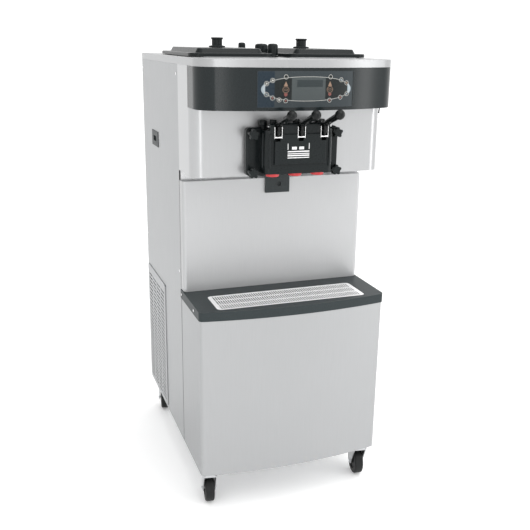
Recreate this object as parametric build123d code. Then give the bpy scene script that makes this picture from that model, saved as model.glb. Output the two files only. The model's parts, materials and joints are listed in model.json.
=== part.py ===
from build123d import *
import math
import os

# Floor-standing twin-flavour soft-serve ice cream maker. Millimetres, Z up, floor at Z = 0,
# X across the front, the dispensing side faces -Y, the rear panel lies at REAR_Y.

# ---- overall sizes -------------------------------------------------------------------------
WIDTH = 646.0
REAR_Y = 490.0
CASE_DEPTH = 595.0
FLOOR_GAP = 137.0
BOX_HEIGHT = 558.0
SHELF_HEIGHT = 31.0
SPLASH_HEIGHT = 380.0
NECK_HEIGHT = 33.0
HEAD_HEIGHT = 213.0
BEZEL_HEIGHT = 124.0
RIM_HEIGHT = 23.0
SHEET = 1.5
FIT = 0.05
GAP = 0.3

HALF = WIDTH / 2
SEAM_Y = REAR_Y - CASE_DEPTH
BOX_TOP = FLOOR_GAP + BOX_HEIGHT
SHELF_TOP = BOX_TOP + SHELF_HEIGHT
SPLASH_TOP = SHELF_TOP + SPLASH_HEIGHT
HEAD_Z = SPLASH_TOP + NECK_HEIGHT
BEZEL_Z = HEAD_Z + HEAD_HEIGHT
RIM_Z = BEZEL_Z + BEZEL_HEIGHT
DECK_Z = RIM_Z + RIM_HEIGHT

# ---- sheet-metal skin ----------------------------------------------------------------------
SPLASH_DEPTH = 40.0
SPLASH_BEND = 12.0
NECK_SETBACK = 24.0
HEAD_DEPTH = 171.0
HEAD_BEND = 40.0
BOX_DEPTH = 277.0
BOX_BOW = 28.0
BOX_CORNER = 12.0
BOX_RETURN = 12.0
BEZEL_OVERHANG = 134.0
BEZEL_RETURN = 128.0
BEZEL_ARC = 870.0
BEZEL_CORNER = 75.0
BEZEL_WALL = 3.0
PANEL_FLANGE = 15.0
FLANGE_TRIM = 25.0
BASE_PLATE = 3.0
BASE_LIP = 20.0
VENT_RAISE = 3.0
VENT_FRONT = 332.0
VENT_REAR = 9.0
VENT_FOOT = 13.0
VENT_HEAD = 40.0
LOUVRE_PITCH = 16.0
LOUVRE_SLOT = 5.0
LOUVRE_COLUMNS = 4
LOUVRE_BAR = 14.0

SPLASH_Y = SEAM_Y - SPLASH_DEPTH
HEAD_Y = SEAM_Y - HEAD_DEPTH
BOX_Y = SEAM_Y - BOX_DEPTH
BEZEL_Y = HEAD_Y - BEZEL_OVERHANG
BEZEL_REAR = SEAM_Y - BEZEL_RETURN
BOX_ARC = (HALF ** 2 + BOX_BOW ** 2) / (2 * BOX_BOW)

# ---- welded frame --------------------------------------------------------------------------
ANGLE = 30.0
ANGLE_STEEL = 3.0
FRAME_INSET = 18.0
FRAME_REAR = 5.0
FRAME_FRONT = 5.0
SHORT_POST_INSET = 37.0

# ---- control panel -------------------------------------------------------------------------
OVERLAY_HALF = 155.0
OVERLAY_MARGIN = 10.0
OVERLAY_STEP = 1.5
SWITCH_INSET = 21.0
SWITCH_Y = -295.0
SWITCH_BUSH = 6.5
SWITCH_BALL = 4.0
SWITCH_LENGTH = 19.0
SWITCH_TILT = 12.5

SWITCH_X = HALF - SWITCH_INSET

# ---- hoppers and covers --------------------------------------------------------------------
HOPPER_INNER = 38.0
HOPPER_MARGIN = 53.0
HOPPER_SETBACK = -80.0
HOPPER_LENGTH = 420.0
HOPPER_DEPTH = 190.0
HOPPER_CORNER = 25.0
HOPPER_FLANGE = 12.0
COVER_INNER = 26.0
COVER_MARGIN = 21.0
COVER_LAP = 10.0
COVER_BASE = 11.0
COVER_RISE = 14.0
COVER_STEP = 26.0
COVER_WALL = 3.0
KNOB_SETBACK = 215.0
KNOB_FLANGE = 28.0
KNOB_WAIST = 17.5
KNOB_TOP = 20.5
KNOB_HEIGHT = 33.0
KNOB_STUD = 4.0
KNOB_FLUTES = 8
KNOB_FLUTE_RADIUS = 3.0
KNOB_FLUTE_END = 8.0
CAP_SPECS = ((85.0, 17.0, 43.0), (200.0, 22.0, 42.0), (417.0, 13.5, 44.0))

# ---- freezing cylinders and drives ---------------------------------------------------------
BARREL_X = 76.0
BARREL_Z_FROM_HEAD = 86.0
BARREL_BORE = 45.0
JACKET_THICK = 13.0
FLANGE_LAP = 2.0
BARREL_FLANGE_DEPTH = 12.0
BARREL_LENGTH = 416.0
BARREL_WALL = 6.0
FEED_SETBACK = 85.0
FEED_RADIUS = 12.0
FEED_BORE = 9.0
SHAFT_RADIUS = 12.0
BEATER_THICK = 7.0
BEATER_CLEARANCE = 4.0
BEATER_HUB = 8.0
BEATER_RAIL = 10.0
BEATER_END_GAP = 6.0
BLADE_WIDTH = 8.0
BLADE_CLEARANCE = 0.3
GEAR_GAP = 50.0
GEAR_SIZE = 110.0
MOTOR_RADIUS = 58.0
MOTOR_LENGTH = 160.0
SHAFT_SOCKET = 20.0

BARREL_Z = HEAD_Z + BARREL_Z_FROM_HEAD
BARREL_JACKET = BARREL_BORE + JACKET_THICK
BARREL_FLANGE = BARREL_JACKET + FLANGE_LAP
BEATER_OUTER = BARREL_BORE - BEATER_CLEARANCE
BEATER_INNER = BEATER_OUTER - BEATER_THICK
BARREL_REAR = HEAD_Y + BARREL_LENGTH
GEAR_Y = BARREL_REAR + GEAR_GAP
HOPPER_OUTER = HALF - HOPPER_MARGIN
HOPPER_FRONT = SEAM_Y + HOPPER_SETBACK
HOPPER_REAR = HOPPER_FRONT + HOPPER_LENGTH
KNOB_X = (HOPPER_INNER + HOPPER_OUTER) / 2 - 1
KNOB_Y = HOPPER_FRONT + KNOB_SETBACK
FEED_Y = HOPPER_FRONT + FEED_SETBACK
HOPPER_FLOOR = DECK_Z + SHEET - HOPPER_DEPTH

# ---- dispensing door -----------------------------------------------------------------------
DOOR_HALF = 155.0
DOOR_FLANGE = 24.0
DOOR_BLOCK_HALF = 112.0
DOOR_BLOCK_DEPTH = 84.0
DOOR_PANEL_HALF = 85.0
DOOR_PANEL_STEP = 8.0
DOOR_LIFT = 3.0
DOOR_HEIGHT = 151.0
DOOR_CORNER = 14.0
DOOR_EDGE = 5.0
DOOR_BLOCK_CORNER = 16.0
DOOR_BLOCK_TRIM = 4.0
DOOR_PANEL_FOOT = 30.0
DOOR_PANEL_HEAD = 14.0
DOOR_PANEL_EDGE = 3.0
DOOR_BOSS = 10.0
SEAL_GAP = 2.0
SEAL_WIDTH = 7.0
SEAL_DEPTH = 2.0
VALVE_PITCH = 76.0
VALVE_RADIUS = 11.0
VALVE_FORWARD = 46.0
VALVE_FOOT = 26.0
VALVE_HEAD = 180.0
SPOUT_RADIUS = 17.0
SPOUT_DROP = 9.0
CAP_RADIUS = 21.0
CAP_OPENING = 7.0
PASSAGE_RADIUS = 8.0
PASSAGE_RISE = 30.0
PIVOT_FORWARD = 74.0
PIN_RADIUS = 4.0
PIN_HEAD = 4.0
PIVOT_RISE = 162.0
CHEEK_HALF = 12.0
CHEEK_RISE = 10.0
CHEEK_ROUND = 9.0
CHEEK_LAP = 30.0
CHEEK_END = 16.0
HANDLE_PLAY = 1.5
SCREW_X = 140.0
SCREW_LOW = 17.0
SCREW_HIGH = 136.0
SCREW_STEM = 4.0
SCREW_REACH = 14.0
SCREW_NECK = 8.0
SCREW_NECK_LENGTH = 16.0
SCREW_KNOB = 12.0
SCREW_KNOB_LENGTH = 20.0
SCREW_LOBE = 5.0
SCREW_LOBES = 5
PLUG_X = 98.0
PLUG_FORWARD = 16.0
PLUG_RADIUS = 9.0
PLUG_KNOB = 12.0

# ---- draw handles --------------------------------------------------------------------------
HANDLE_HUB = 9.0
HANDLE_WIDTH = 14.0
BALL_FORWARD = 126.5
BALL_RISE = 44.0
BALL_RADIUS = 15.0
HANDLE_ROOT = 7.5
HANDLE_TIP = 10.5
LUG_RADIUS = 4.0
LUG_WIDTH = 8.0
STOP_FORWARD = 22.0
STOP_DROP = 26.0

DOOR_FRONT = HEAD_Y - DOOR_BLOCK_DEPTH
SEAL_INNER = BARREL_BORE + SEAL_GAP
SEAL_OUTER = SEAL_INNER + SEAL_WIDTH
VALVE_Y = HEAD_Y - VALVE_FORWARD
PIVOT_Y = HEAD_Y - PIVOT_FORWARD
PIVOT_Z = HEAD_Z + PIVOT_RISE

# ---- shelf, grid and drip pans -------------------------------------------------------------
SHELF_LAP = 3.0
SHELF_WALL = 4.0
SHELF_SKIRT = 7.0
BASIN_MARGIN = 61.0
BASIN_FORWARD = 34.0
BASIN_SPAN = 140.0
BASIN_DEPTH = 27.0
BASIN_CORNER = 16.0
BASIN_WALL = 2.5
GRID_CLEARANCE = 1.0
GRID_SHEET = 2.0
GRID_LEDGE = 6.0
GRID_PITCH = 8.0
GRID_SLOT = 4.0
GRID_ROWS = 3
GRID_BAR = 6.0
GRID_BORDER = 10.0
SIDE_PAN_INSET = 219.0
SIDE_PAN_Z = 58.0
SIDE_PAN_HALF = 51.0
SIDE_PAN_HEIGHT = 52.0
SIDE_PAN_LENGTH = 170.0
FRONT_PAN_X = 6.0
FRONT_PAN_HALF = 43.0
FRONT_PAN_FACE = 60.0
FRONT_PAN_RISE = 10.0
FRONT_PAN_LENGTH = 266.0
PAN_WALL = 2.0
PAN_CLEARANCE = 2.0
PAN_FACE = 10.0
GRIP_HALF = 7.0
GRIP_DEPTH = 6.0
GRIP_OFFSET = 4.0
SIDE_GRIP_HALF = 9.0
SIDE_PAN_LAP = 2.0

SIDE_PAN_Y = REAR_Y - SIDE_PAN_INSET
BASIN_HALF = HALF - BASIN_MARGIN
BASIN_FRONT = BOX_Y + BASIN_FORWARD
BASIN_REAR = BASIN_FRONT + BASIN_SPAN

# ---- refrigeration -------------------------------------------------------------------------
CONDENSER_DEPTH = 40.0
CONDENSER_FINS = 24
CONDENSER_GAP = 4.0
CONDENSER_RIM = 6.0
SHROUD_DEPTH = 30.0
FAN_RADIUS = 125.0
FAN_BLADES = 5
FAN_HUB = 32.0
FAN_WIDTH = 24.0
FAN_TIP_GAP = 7.0
FAN_SHAFT = 6.0
FAN_MOTOR_RADIUS = 45.0
FAN_MOTOR_LENGTH = 80.0
COMPRESSOR_X = 130.0
COMPRESSOR_Y = 70.0
COMPRESSOR_RADIUS = 100.0
COMPRESSOR_HEIGHT = 300.0
COMPRESSOR_SHELL = 28.0
COMPRESSOR_FOOT = 25.0
BOX_OF_CONTROLS = (120.0, 300.0, 260.0)
CONTROLS_SETBACK = 190.0
CONTROLS_RISE = 40.0
CONTROLS_WALL = 2.0

# ---- casters -------------------------------------------------------------------------------
CASTER_X_INSET = 38.0
CASTER_FRONT_INSET = 64.0
CASTER_REAR_INSET = 79.0
CASTER_YAW = 9.0
TRAIL = 30.0
WHEEL_RADIUS = 48.0
WHEEL_WIDTH = 32.0
AXLE_RADIUS = 5.0
FORK_GAP = 4.0
FORK_PLATE = 3.0
CROWN_Z = 118.0
CROWN_THICK = 13.0
KING_PIN = 6.0
MOUNT_PLATE = 4.0
MOUNT_SIDE = 60.0
STEM_RADIUS = 8.0
STEM_RISE = 24.0
FORK_REACH = 18.0
CROWN_RADIUS = 28.0
WHEEL_EDGE = 7.0
WHEEL_DISH_DEPTH = 4.0
WHEEL_DISH = 30.0
WHEEL_HUB = 12.0

# ---- panel screws --------------------------------------------------------------------------
PANEL_SCREW_RADIUS = 4.5
PANEL_SCREW_HEAD = 1.5
PANEL_SCREW_INSET = 18.0
PANEL_SCREW_LOW = 60.0
PANEL_SCREW_HIGH = 30.0
SKIRT_SCREWS = (15.0, 181.0)

CASTER_FRONT_Y = BOX_Y + CASTER_FRONT_INSET
CASTER_REAR_Y = REAR_Y - CASTER_REAR_INSET

SIDES = (("left", -1), ("right", 1))
VALVES = (("left", -1), ("centre", 0), ("right", 1))
CASTERS = (
    ("front_left", -1, CASTER_FRONT_Y),
    ("front_right", 1, CASTER_FRONT_Y),
    ("rear_left", -1, CASTER_REAR_Y),
    ("rear_right", 1, CASTER_REAR_Y),
)


# ---- helpers -------------------------------------------------------------------------------
def block(x0, x1, y0, y1, z0, z1):
    centre = Pos((x0 + x1) / 2, (y0 + y1) / 2, (z0 + z1) / 2)
    return centre * Box(abs(x1 - x0), abs(y1 - y0), abs(z1 - z0))


def rod_x(radius, x0, x1, y, z):
    return Pos((x0 + x1) / 2, y, z) * Rot(0, 90, 0) * Cylinder(radius, abs(x1 - x0))


def rod_y(radius, y0, y1, x, z):
    return Pos(x, (y0 + y1) / 2, z) * Rot(90, 0, 0) * Cylinder(radius, abs(y1 - y0))


def rod_z(radius, z0, z1, x, y):
    return Pos(x, y, (z0 + z1) / 2) * Cylinder(radius, abs(z1 - z0))


def round_block(x0, x1, y0, y1, z0, z1, radius, axis=Axis.Z):
    body = block(x0, x1, y0, y1, z0, z1)
    return fillet(body.edges().filter_by(axis), radius)


def bow_prism(half, rear, front, arc, corner, z0, z1):
    """Plan outline with flat sides and a bowed front, extruded from z0 to z1."""
    edge_y = front + arc - math.sqrt(arc ** 2 - half ** 2)
    sides = Polyline((-half, edge_y), (-half, rear), (half, rear), (half, edge_y))
    bow = ThreePointArc((half, edge_y), (0, front), (-half, edge_y))
    outline = make_face([*sides.edges(), bow])
    corners = [v for v in outline.vertices() if abs(v.Y - edge_y) < 0.01]
    outline = fillet(corners, corner)
    return Pos(0, 0, z0) * extrude(outline, z1 - z0)


def tab_prism(half, rear, front, corner, z0, z1):
    """Plan rectangle whose two front corners are rounded, extruded from z0 to z1."""
    body = block(-half, half, front, rear, z0, z1)
    edges = body.edges().filter_by(Axis.Z).group_by(Axis.Y)[0]
    return fillet(edges, corner)


def mirror_x(shape):
    return mirror(shape, Plane.YZ)


def angle_bar(x, y, z, open_x=0, open_y=0, open_z=0):
    """Angle iron filling the (low, high) spans, hollow towards its two open sides."""
    hollow = []
    for (low, high), side in ((x, open_x), (y, open_y), (z, open_z)):
        low_end = low + ANGLE_STEEL if side > 0 else low - 1
        high_end = high - ANGLE_STEEL if side < 0 else high + 1
        hollow += [low_end, high_end]
    return block(*x, *y, *z) - block(*hollow)


# ---- frame and skin ------------------------------------------------------------------------
def make_frame():
    outer = HALF - FRAME_INSET
    rear = REAR_Y - FRAME_REAR
    front = SEAM_Y + FRAME_FRONT
    low = FLOOR_GAP + BASE_PLATE
    tall = DECK_Z - RIM_HEIGHT - FRAME_REAR
    short_y = BOX_Y + SHORT_POST_INSET
    short_top = BOX_TOP - FRAME_REAR
    cradle = BARREL_Z - BARREL_JACKET
    body = None
    for side in (-1, 1):
        x_span = tuple(sorted((side * outer, side * (outer - ANGLE))))
        bars = [
            angle_bar(x_span, (front, front + ANGLE), (low, tall), -side, 1, 0),
            angle_bar(x_span, (rear - ANGLE, rear), (low, tall), -side, -1, 0),
            angle_bar(x_span, (short_y, short_y + ANGLE), (low, short_top), -side, 1, 0),
            angle_bar(x_span, (short_y, rear), (low, low + ANGLE), -side, 0, 1),
            angle_bar(x_span, (short_y, rear), (short_top - ANGLE, short_top), -side, 0, 1),
            angle_bar(x_span, (front, rear), (cradle - ANGLE, cradle), -side, 0, -1),
            angle_bar(x_span, (front, rear), (tall - ANGLE, tall), -side, 0, 1),
        ]
        for bar in bars:
            body = bar if body is None else body + bar
    across = (-outer, outer)
    body += angle_bar(across, (short_y, short_y + ANGLE), (low, low + ANGLE), 0, 1, 1)
    body += angle_bar(across, (rear - ANGLE, rear), (low, low + ANGLE), 0, -1, 1)
    body += angle_bar(across, (front, front + ANGLE), (low, low + ANGLE), 0, 1, 1)
    body += angle_bar(across, (rear - ANGLE, rear), (tall - ANGLE, tall), 0, -1, 1)
    for y in (front + ANGLE, BARREL_REAR - 2 * ANGLE):
        body += angle_bar(across, (y, y + ANGLE), (cradle - ANGLE, cradle), 0, 1, -1)
    gear_foot = BARREL_Z - GEAR_SIZE / 2
    gear_rail = (GEAR_Y + ANGLE, GEAR_Y + 2 * ANGLE)
    reach = (-outer + SIDE_PAN_LENGTH, outer)
    body += angle_bar(reach, gear_rail, (gear_foot - ANGLE, gear_foot), 0, 1, -1)
    for _, side, y in CASTERS:
        x = side * (HALF - CASTER_X_INSET)
        body -= rod_z(STEM_RADIUS + GAP, low - 1, low + ANGLE + 1, x, y)
    return body


def make_base_pan():
    outer = HALF - SHEET
    rear = REAR_Y - SHEET
    front = BOX_Y + BOX_BOW + SHEET
    top = FLOOR_GAP + BASE_LIP
    inner = outer - SHEET
    corner = 2 * BOX_CORNER
    pan = tab_prism(outer, rear, front, corner, FLOOR_GAP, top)
    pan -= tab_prism(inner, rear - SHEET, front + SHEET, corner - SHEET, FLOOR_GAP + BASE_PLATE, top + 1)
    for _, side, y in CASTERS:
        x = side * (HALF - CASTER_X_INSET)
        pan -= rod_z(STEM_RADIUS + GAP, FLOOR_GAP - 1, FLOOR_GAP + BASE_PLATE + 1, x, y)
    return pan


def vent_span():
    low = FLOOR_GAP + VENT_FOOT
    high = BOX_TOP - VENT_HEAD
    front = REAR_Y - VENT_FRONT
    rear = REAR_Y - VENT_REAR
    return front, rear, low, high


def louvre_slots(x0, x1):
    """Columns of short horizontal slots through the raised vent field."""
    front, rear, low, high = vent_span()
    column = (rear - front - 2 * LOUVRE_BAR) / LOUVRE_COLUMNS
    rows = int((high - low - 2 * LOUVRE_PITCH) // LOUVRE_PITCH)
    slots = []
    for i in range(LOUVRE_COLUMNS):
        y0 = front + LOUVRE_BAR + i * column + LOUVRE_BAR / 2
        y1 = y0 + column - LOUVRE_BAR
        for j in range(rows):
            z0 = low + LOUVRE_PITCH * (j + 1)
            slots.append(block(x0, x1, y0, y1, z0, z0 + LOUVRE_SLOT))
    return slots


def make_side_panel(with_pan_hole):
    """Left-hand side panel: flat sheet, bent edges and a raised louvred vent field."""
    skin = -HALF
    inner = skin + SHEET
    panel = block(skin, inner, SEAM_Y, REAR_Y, FLOOR_GAP, RIM_Z)
    flange_z = (FLOOR_GAP + FLANGE_TRIM, RIM_Z - FLANGE_TRIM)
    panel += block(inner, inner + PANEL_FLANGE, SEAM_Y, SEAM_Y + SHEET, *flange_z)
    rear = REAR_Y - SHEET
    panel += block(inner, inner + PANEL_FLANGE, rear - SHEET, rear, *flange_z)
    front, rear, low, high = vent_span()
    field = block(skin - VENT_RAISE, skin, front, rear, low, high)
    field = fillet(field.edges().filter_by(Axis.X), 4 * VENT_RAISE)
    hollow = block(skin - VENT_RAISE + SHEET, inner + 1, front + SHEET, rear - SHEET,
                   low + SHEET, high - SHEET)
    panel = panel + field - hollow
    panel -= louvre_slots(skin - VENT_RAISE - 1, skin)
    if with_pan_hole:
        z = HEAD_Z + SIDE_PAN_Z
        half = SIDE_PAN_HALF
        rise = SIDE_PAN_HEIGHT / 2
        panel -= block(skin - 1, inner + 1, SIDE_PAN_Y - half, SIDE_PAN_Y + half, z - rise, z + rise)
    return panel


def make_rear_panel():
    outer = HALF - SHEET
    panel = block(-outer, outer, REAR_Y - SHEET, REAR_Y, FLOOR_GAP, RIM_Z)
    _, _, low, high = vent_span()
    rows = int((high - low) // (2 * LOUVRE_PITCH))
    width = (2 * outer - 4 * LOUVRE_BAR) / 3
    slots = []
    for i in range(3):
        x0 = -outer + LOUVRE_BAR + i * (width + LOUVRE_BAR)
        for j in range(rows):
            z0 = low + 2 * LOUVRE_PITCH * (j + 1)
            slots.append(block(x0, x0 + width, REAR_Y - SHEET - 1, REAR_Y + 1, z0, z0 + LOUVRE_SLOT))
    return panel - slots


def front_pan_span():
    z0 = SPLASH_TOP + FRONT_PAN_RISE - FRONT_PAN_FACE
    return FRONT_PAN_X - FRONT_PAN_HALF, FRONT_PAN_X + FRONT_PAN_HALF, z0, z0 + FRONT_PAN_FACE


def make_front_panel():
    panel = tab_prism(HALF, SEAM_Y, SPLASH_Y, SPLASH_BEND, SHELF_TOP, SPLASH_TOP)
    inner_bend = SPLASH_BEND - SHEET
    panel -= tab_prism(HALF - SHEET, SEAM_Y + 1, SPLASH_Y + SHEET, inner_bend,
                       SHELF_TOP - 1, SPLASH_TOP - SHEET)
    neck = SPLASH_Y + NECK_SETBACK
    panel -= block(-HALF + SHEET, HALF - SHEET, neck, SEAM_Y + 1, SPLASH_TOP - 2 * SHEET, SPLASH_TOP + 1)
    x0, x1, z0, z1 = front_pan_span()
    edge = PAN_CLEARANCE + 2 * PAN_WALL
    panel -= block(x0 + edge, x1 - edge, SPLASH_Y - 1, SPLASH_Y + SHEET + 1,
                   z0 + edge, SPLASH_TOP - 2 * SHEET)
    return panel


def make_lower_side_panels():
    inner = HALF - SHEET
    front = BOX_Y + BOX_BOW + BOX_RETURN
    panel = block(inner, HALF, front, SEAM_Y, FLOOR_GAP, BOX_TOP)
    trim = (FLOOR_GAP + FLANGE_TRIM, BOX_TOP - FLANGE_TRIM)
    panel += block(inner - PANEL_FLANGE, inner, SEAM_Y - SHEET, SEAM_Y, *trim)
    return panel + mirror_x(panel)


def make_lower_front_panel():
    rear = BOX_Y + BOX_BOW + BOX_RETURN
    panel = bow_prism(HALF, rear, BOX_Y, BOX_ARC, BOX_CORNER, FLOOR_GAP, BOX_TOP)
    panel -= bow_prism(HALF - SHEET, rear + 1, BOX_Y + SHEET, BOX_ARC - SHEET,
                       BOX_CORNER - SHEET, FLOOR_GAP - 1, BOX_TOP + 1)
    return panel


def make_head_shroud():
    shroud = tab_prism(HALF, SEAM_Y, HEAD_Y, HEAD_BEND, HEAD_Z, RIM_Z)
    shroud -= tab_prism(HALF - SHEET, SEAM_Y + 1, HEAD_Y + SHEET, HEAD_BEND - SHEET,
                        HEAD_Z - 1, RIM_Z + 1)
    shroud -= block(-HALF - 1, HALF + 1, HEAD_Y - 1, BEZEL_REAR, BEZEL_Z, RIM_Z + 1)
    for _, side in SIDES:
        hole = rod_y(BARREL_FLANGE + GAP, HEAD_Y - 1, HEAD_Y + SHEET + 1, side * BARREL_X, BARREL_Z)
        shroud -= hole
        for rise in (SCREW_LOW, SCREW_HIGH):
            shroud -= rod_y(SCREW_STEM + GAP, HEAD_Y - 1, HEAD_Y + SHEET + 1,
                            side * SCREW_X, HEAD_Z + rise)
    return shroud


def make_head_floor():
    """Dark underside of the head with the recessed neck strip above the splash panel."""
    outer = HALF - SHEET
    neck = SPLASH_Y + NECK_SETBACK
    plate = tab_prism(outer, neck + 2 * SHEET, HEAD_Y + SHEET, HEAD_BEND - SHEET,
                      HEAD_Z, HEAD_Z + 2 * SHEET)
    strip = block(-outer, outer, neck, neck + 2 * SHEET, SPLASH_TOP - 2 * SHEET, HEAD_Z + 2 * SHEET)
    return plate + strip


# ---- control head --------------------------------------------------------------------------
def bezel_prism(inset, rear, z0, z1):
    return bow_prism(HALF - inset, rear, BEZEL_Y + inset, BEZEL_ARC - inset,
                     BEZEL_CORNER - inset, z0, z1)


def make_control_bezel():
    bezel = bezel_prism(0, BEZEL_REAR, BEZEL_Z, RIM_Z)
    bezel -= bezel_prism(BEZEL_WALL, BEZEL_REAR + 1, BEZEL_Z + BEZEL_WALL, RIM_Z + 1)
    bush = rod_z(SWITCH_BUSH, BEZEL_Z - SWITCH_BUSH, BEZEL_Z, SWITCH_X, SWITCH_Y)
    socket = rod_z(SWITCH_BALL + GAP, BEZEL_Z - SWITCH_BUSH - 1, BEZEL_Z + BEZEL_WALL + 1,
                   SWITCH_X, SWITCH_Y)
    return bezel + bush - socket


def make_control_panel():
    z0 = BEZEL_Z + OVERLAY_MARGIN
    z1 = RIM_Z - OVERLAY_MARGIN + SHEET / 2
    plate = bezel_prism(-OVERLAY_STEP, BEZEL_REAR, z0, z1)
    plate -= bezel_prism(0, BEZEL_REAR + 1, z0 - 1, z1 + 1)
    reach = block(-OVERLAY_HALF, OVERLAY_HALF, BEZEL_Y - 50, HEAD_Y, z0, z1)
    return plate & reach


def make_power_switch():
    ball_z = BEZEL_Z - SWITCH_BUSH + SWITCH_BALL
    lever = Sphere(SWITCH_BALL - FIT)
    lever += Pos(0, 0, -SWITCH_LENGTH / 2) * Cone(2.2, 1.6, SWITCH_LENGTH)
    lever += Pos(0, 0, -SWITCH_LENGTH) * Sphere(2.6)
    return Pos(SWITCH_X, SWITCH_Y, ball_z) * Rot(SWITCH_TILT, 0, 0) * lever


def make_top_panel():
    deck = bezel_prism(0, REAR_Y, RIM_Z, DECK_Z)
    deck -= bezel_prism(SHEET, REAR_Y - SHEET, RIM_Z - 1, DECK_Z - SHEET)
    for _, side in SIDES:
        x0, x1 = sorted((side * (HOPPER_INNER - SHEET - GAP), side * (HOPPER_OUTER + SHEET + GAP)))
        deck -= round_block(x0, x1, HOPPER_FRONT - SHEET - GAP, HOPPER_REAR + SHEET + GAP,
                            DECK_Z - RIM_HEIGHT, DECK_Z + 1, HOPPER_CORNER + SHEET + GAP)
    return deck


# ---- hoppers -------------------------------------------------------------------------------
def make_hopper(side):
    x0, x1 = sorted((side * HOPPER_INNER, side * HOPPER_OUTER))
    top = DECK_Z + SHEET
    wall = SHEET
    shell = round_block(x0 - wall, x1 + wall, HOPPER_FRONT - wall, HOPPER_REAR + wall,
                        HOPPER_FLOOR - wall, top, HOPPER_CORNER + wall)
    lip = HOPPER_FLANGE
    shell += round_block(x0 - lip, x1 + lip, HOPPER_FRONT - lip, HOPPER_REAR + lip,
                         DECK_Z, top, HOPPER_CORNER + lip)
    shell -= round_block(x0, x1, HOPPER_FRONT, HOPPER_REAR, HOPPER_FLOOR, top + 1, HOPPER_CORNER)
    return shell - rod_z(FEED_BORE, HOPPER_FLOOR - 2 * wall, HOPPER_FLOOR + 1, side * BARREL_X, FEED_Y)


def cover_span(side):
    return sorted((side * COVER_INNER, side * (HALF - COVER_MARGIN)))


def make_hopper_cover(side):
    """Moulded lid: flat flange, raised centre with sloping flanks, hollow underneath."""
    x0, x1 = cover_span(side)
    y0 = HOPPER_FRONT - COVER_LAP
    y1 = HOPPER_REAR + COVER_LAP
    z0 = DECK_Z + SHEET + GAP
    z1 = z0 + COVER_BASE
    lid = round_block(x0, x1, y0, y1, z0, z1, HOPPER_CORNER + COVER_LAP)
    lid = fillet(lid.edges().group_by(Axis.Z)[-1], COVER_WALL)
    step = COVER_STEP
    centre = Pos((x0 + x1) / 2, (y0 + y1) / 2, z1 - COVER_WALL / 2)
    crown = RectangleRounded(x1 - x0 - 2 * step, y1 - y0 - 2 * step, HOPPER_CORNER)
    lid += centre * extrude(crown, COVER_RISE + COVER_WALL / 2, taper=30)
    hollow = RectangleRounded(x1 - x0 - 2 * step - 2 * COVER_WALL, y1 - y0 - 2 * step - 2 * COVER_WALL,
                              HOPPER_CORNER - COVER_WALL)
    base = Pos((x0 + x1) / 2, (y0 + y1) / 2, z0)
    lid -= base * extrude(hollow, COVER_BASE)
    lid -= Pos((x0 + x1) / 2, (y0 + y1) / 2, z0 + COVER_BASE) * extrude(
        hollow, COVER_RISE - COVER_WALL, taper=30)
    return lid - rod_z(KNOB_STUD + FIT, z0, z1 + 2 * COVER_RISE, side * KNOB_X, KNOB_Y)


def cover_top():
    return DECK_Z + SHEET + GAP + COVER_BASE + COVER_RISE


def make_cover_knob(side):
    """Spool-shaped lifting knob with its stud through the lid."""
    base = cover_top()
    profile = Polyline(
        (0, -COVER_WALL - 8), (KNOB_STUD, -COVER_WALL - 8), (KNOB_STUD, 0), (KNOB_FLANGE - 2, 0),
        (KNOB_FLANGE, 2), (KNOB_FLANGE, 4), (KNOB_FLANGE - 2, 6), (KNOB_WAIST, 7),
        (KNOB_WAIST, KNOB_HEIGHT - 7), (KNOB_TOP, KNOB_HEIGHT - 5), (KNOB_TOP, KNOB_HEIGHT - 1.5),
        (KNOB_TOP - 1.5, KNOB_HEIGHT), (0, KNOB_HEIGHT), close=True)
    knob = revolve(Plane.XZ * make_face(profile.edges()), Axis.Z)
    reach = KNOB_WAIST + KNOB_FLUTE_RADIUS / 2
    for i in range(KNOB_FLUTES):
        angle = math.radians(360 / KNOB_FLUTES * i)
        knob -= rod_z(KNOB_FLUTE_RADIUS, KNOB_FLUTE_END, KNOB_HEIGHT - KNOB_FLUTE_END,
                      reach * math.cos(angle), reach * math.sin(angle))
    return Pos(side * KNOB_X, KNOB_Y, base) * knob


def make_centre_caps():
    """Three low round caps standing on the deck between the two lids."""
    caps = []
    for setback, radius, height in CAP_SPECS:
        profile = Polyline(
            (0, 0), (radius + 3, 0), (radius + 3, 4), (radius, 6),
            (radius, height - 8), (radius * 0.93, height - 4), (radius * 0.7, height - 1),
            (0, height), close=True)
        cap = revolve(Plane.XZ * make_face(profile.edges()), Axis.Z)
        caps.append(Pos(0, HOPPER_FRONT + setback, DECK_Z) * cap)
    return Part() + caps


# ---- freezing cylinders --------------------------------------------------------------------
def make_freezing_cylinders():
    barrels = []
    for _, side in SIDES:
        x = side * BARREL_X
        barrel = rod_y(BARREL_JACKET, HEAD_Y + 5, BARREL_REAR, x, BARREL_Z)
        barrel += rod_y(BARREL_FLANGE, HEAD_Y, HEAD_Y + BARREL_FLANGE_DEPTH, x, BARREL_Z)
        barrel += rod_z(FEED_RADIUS, BARREL_Z, HOPPER_FLOOR - SHEET, x, FEED_Y)
        barrel -= rod_y(BARREL_BORE, HEAD_Y - 1, BARREL_REAR - BARREL_WALL, x, BARREL_Z)
        barrel -= rod_y(SHAFT_RADIUS + FIT, BARREL_REAR - 2 * BARREL_WALL, BARREL_REAR + 1, x, BARREL_Z)
        barrel -= rod_z(FEED_BORE, BARREL_Z, HOPPER_FLOOR, x, FEED_Y)
        barrels.append(barrel)
    return Part() + barrels


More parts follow.
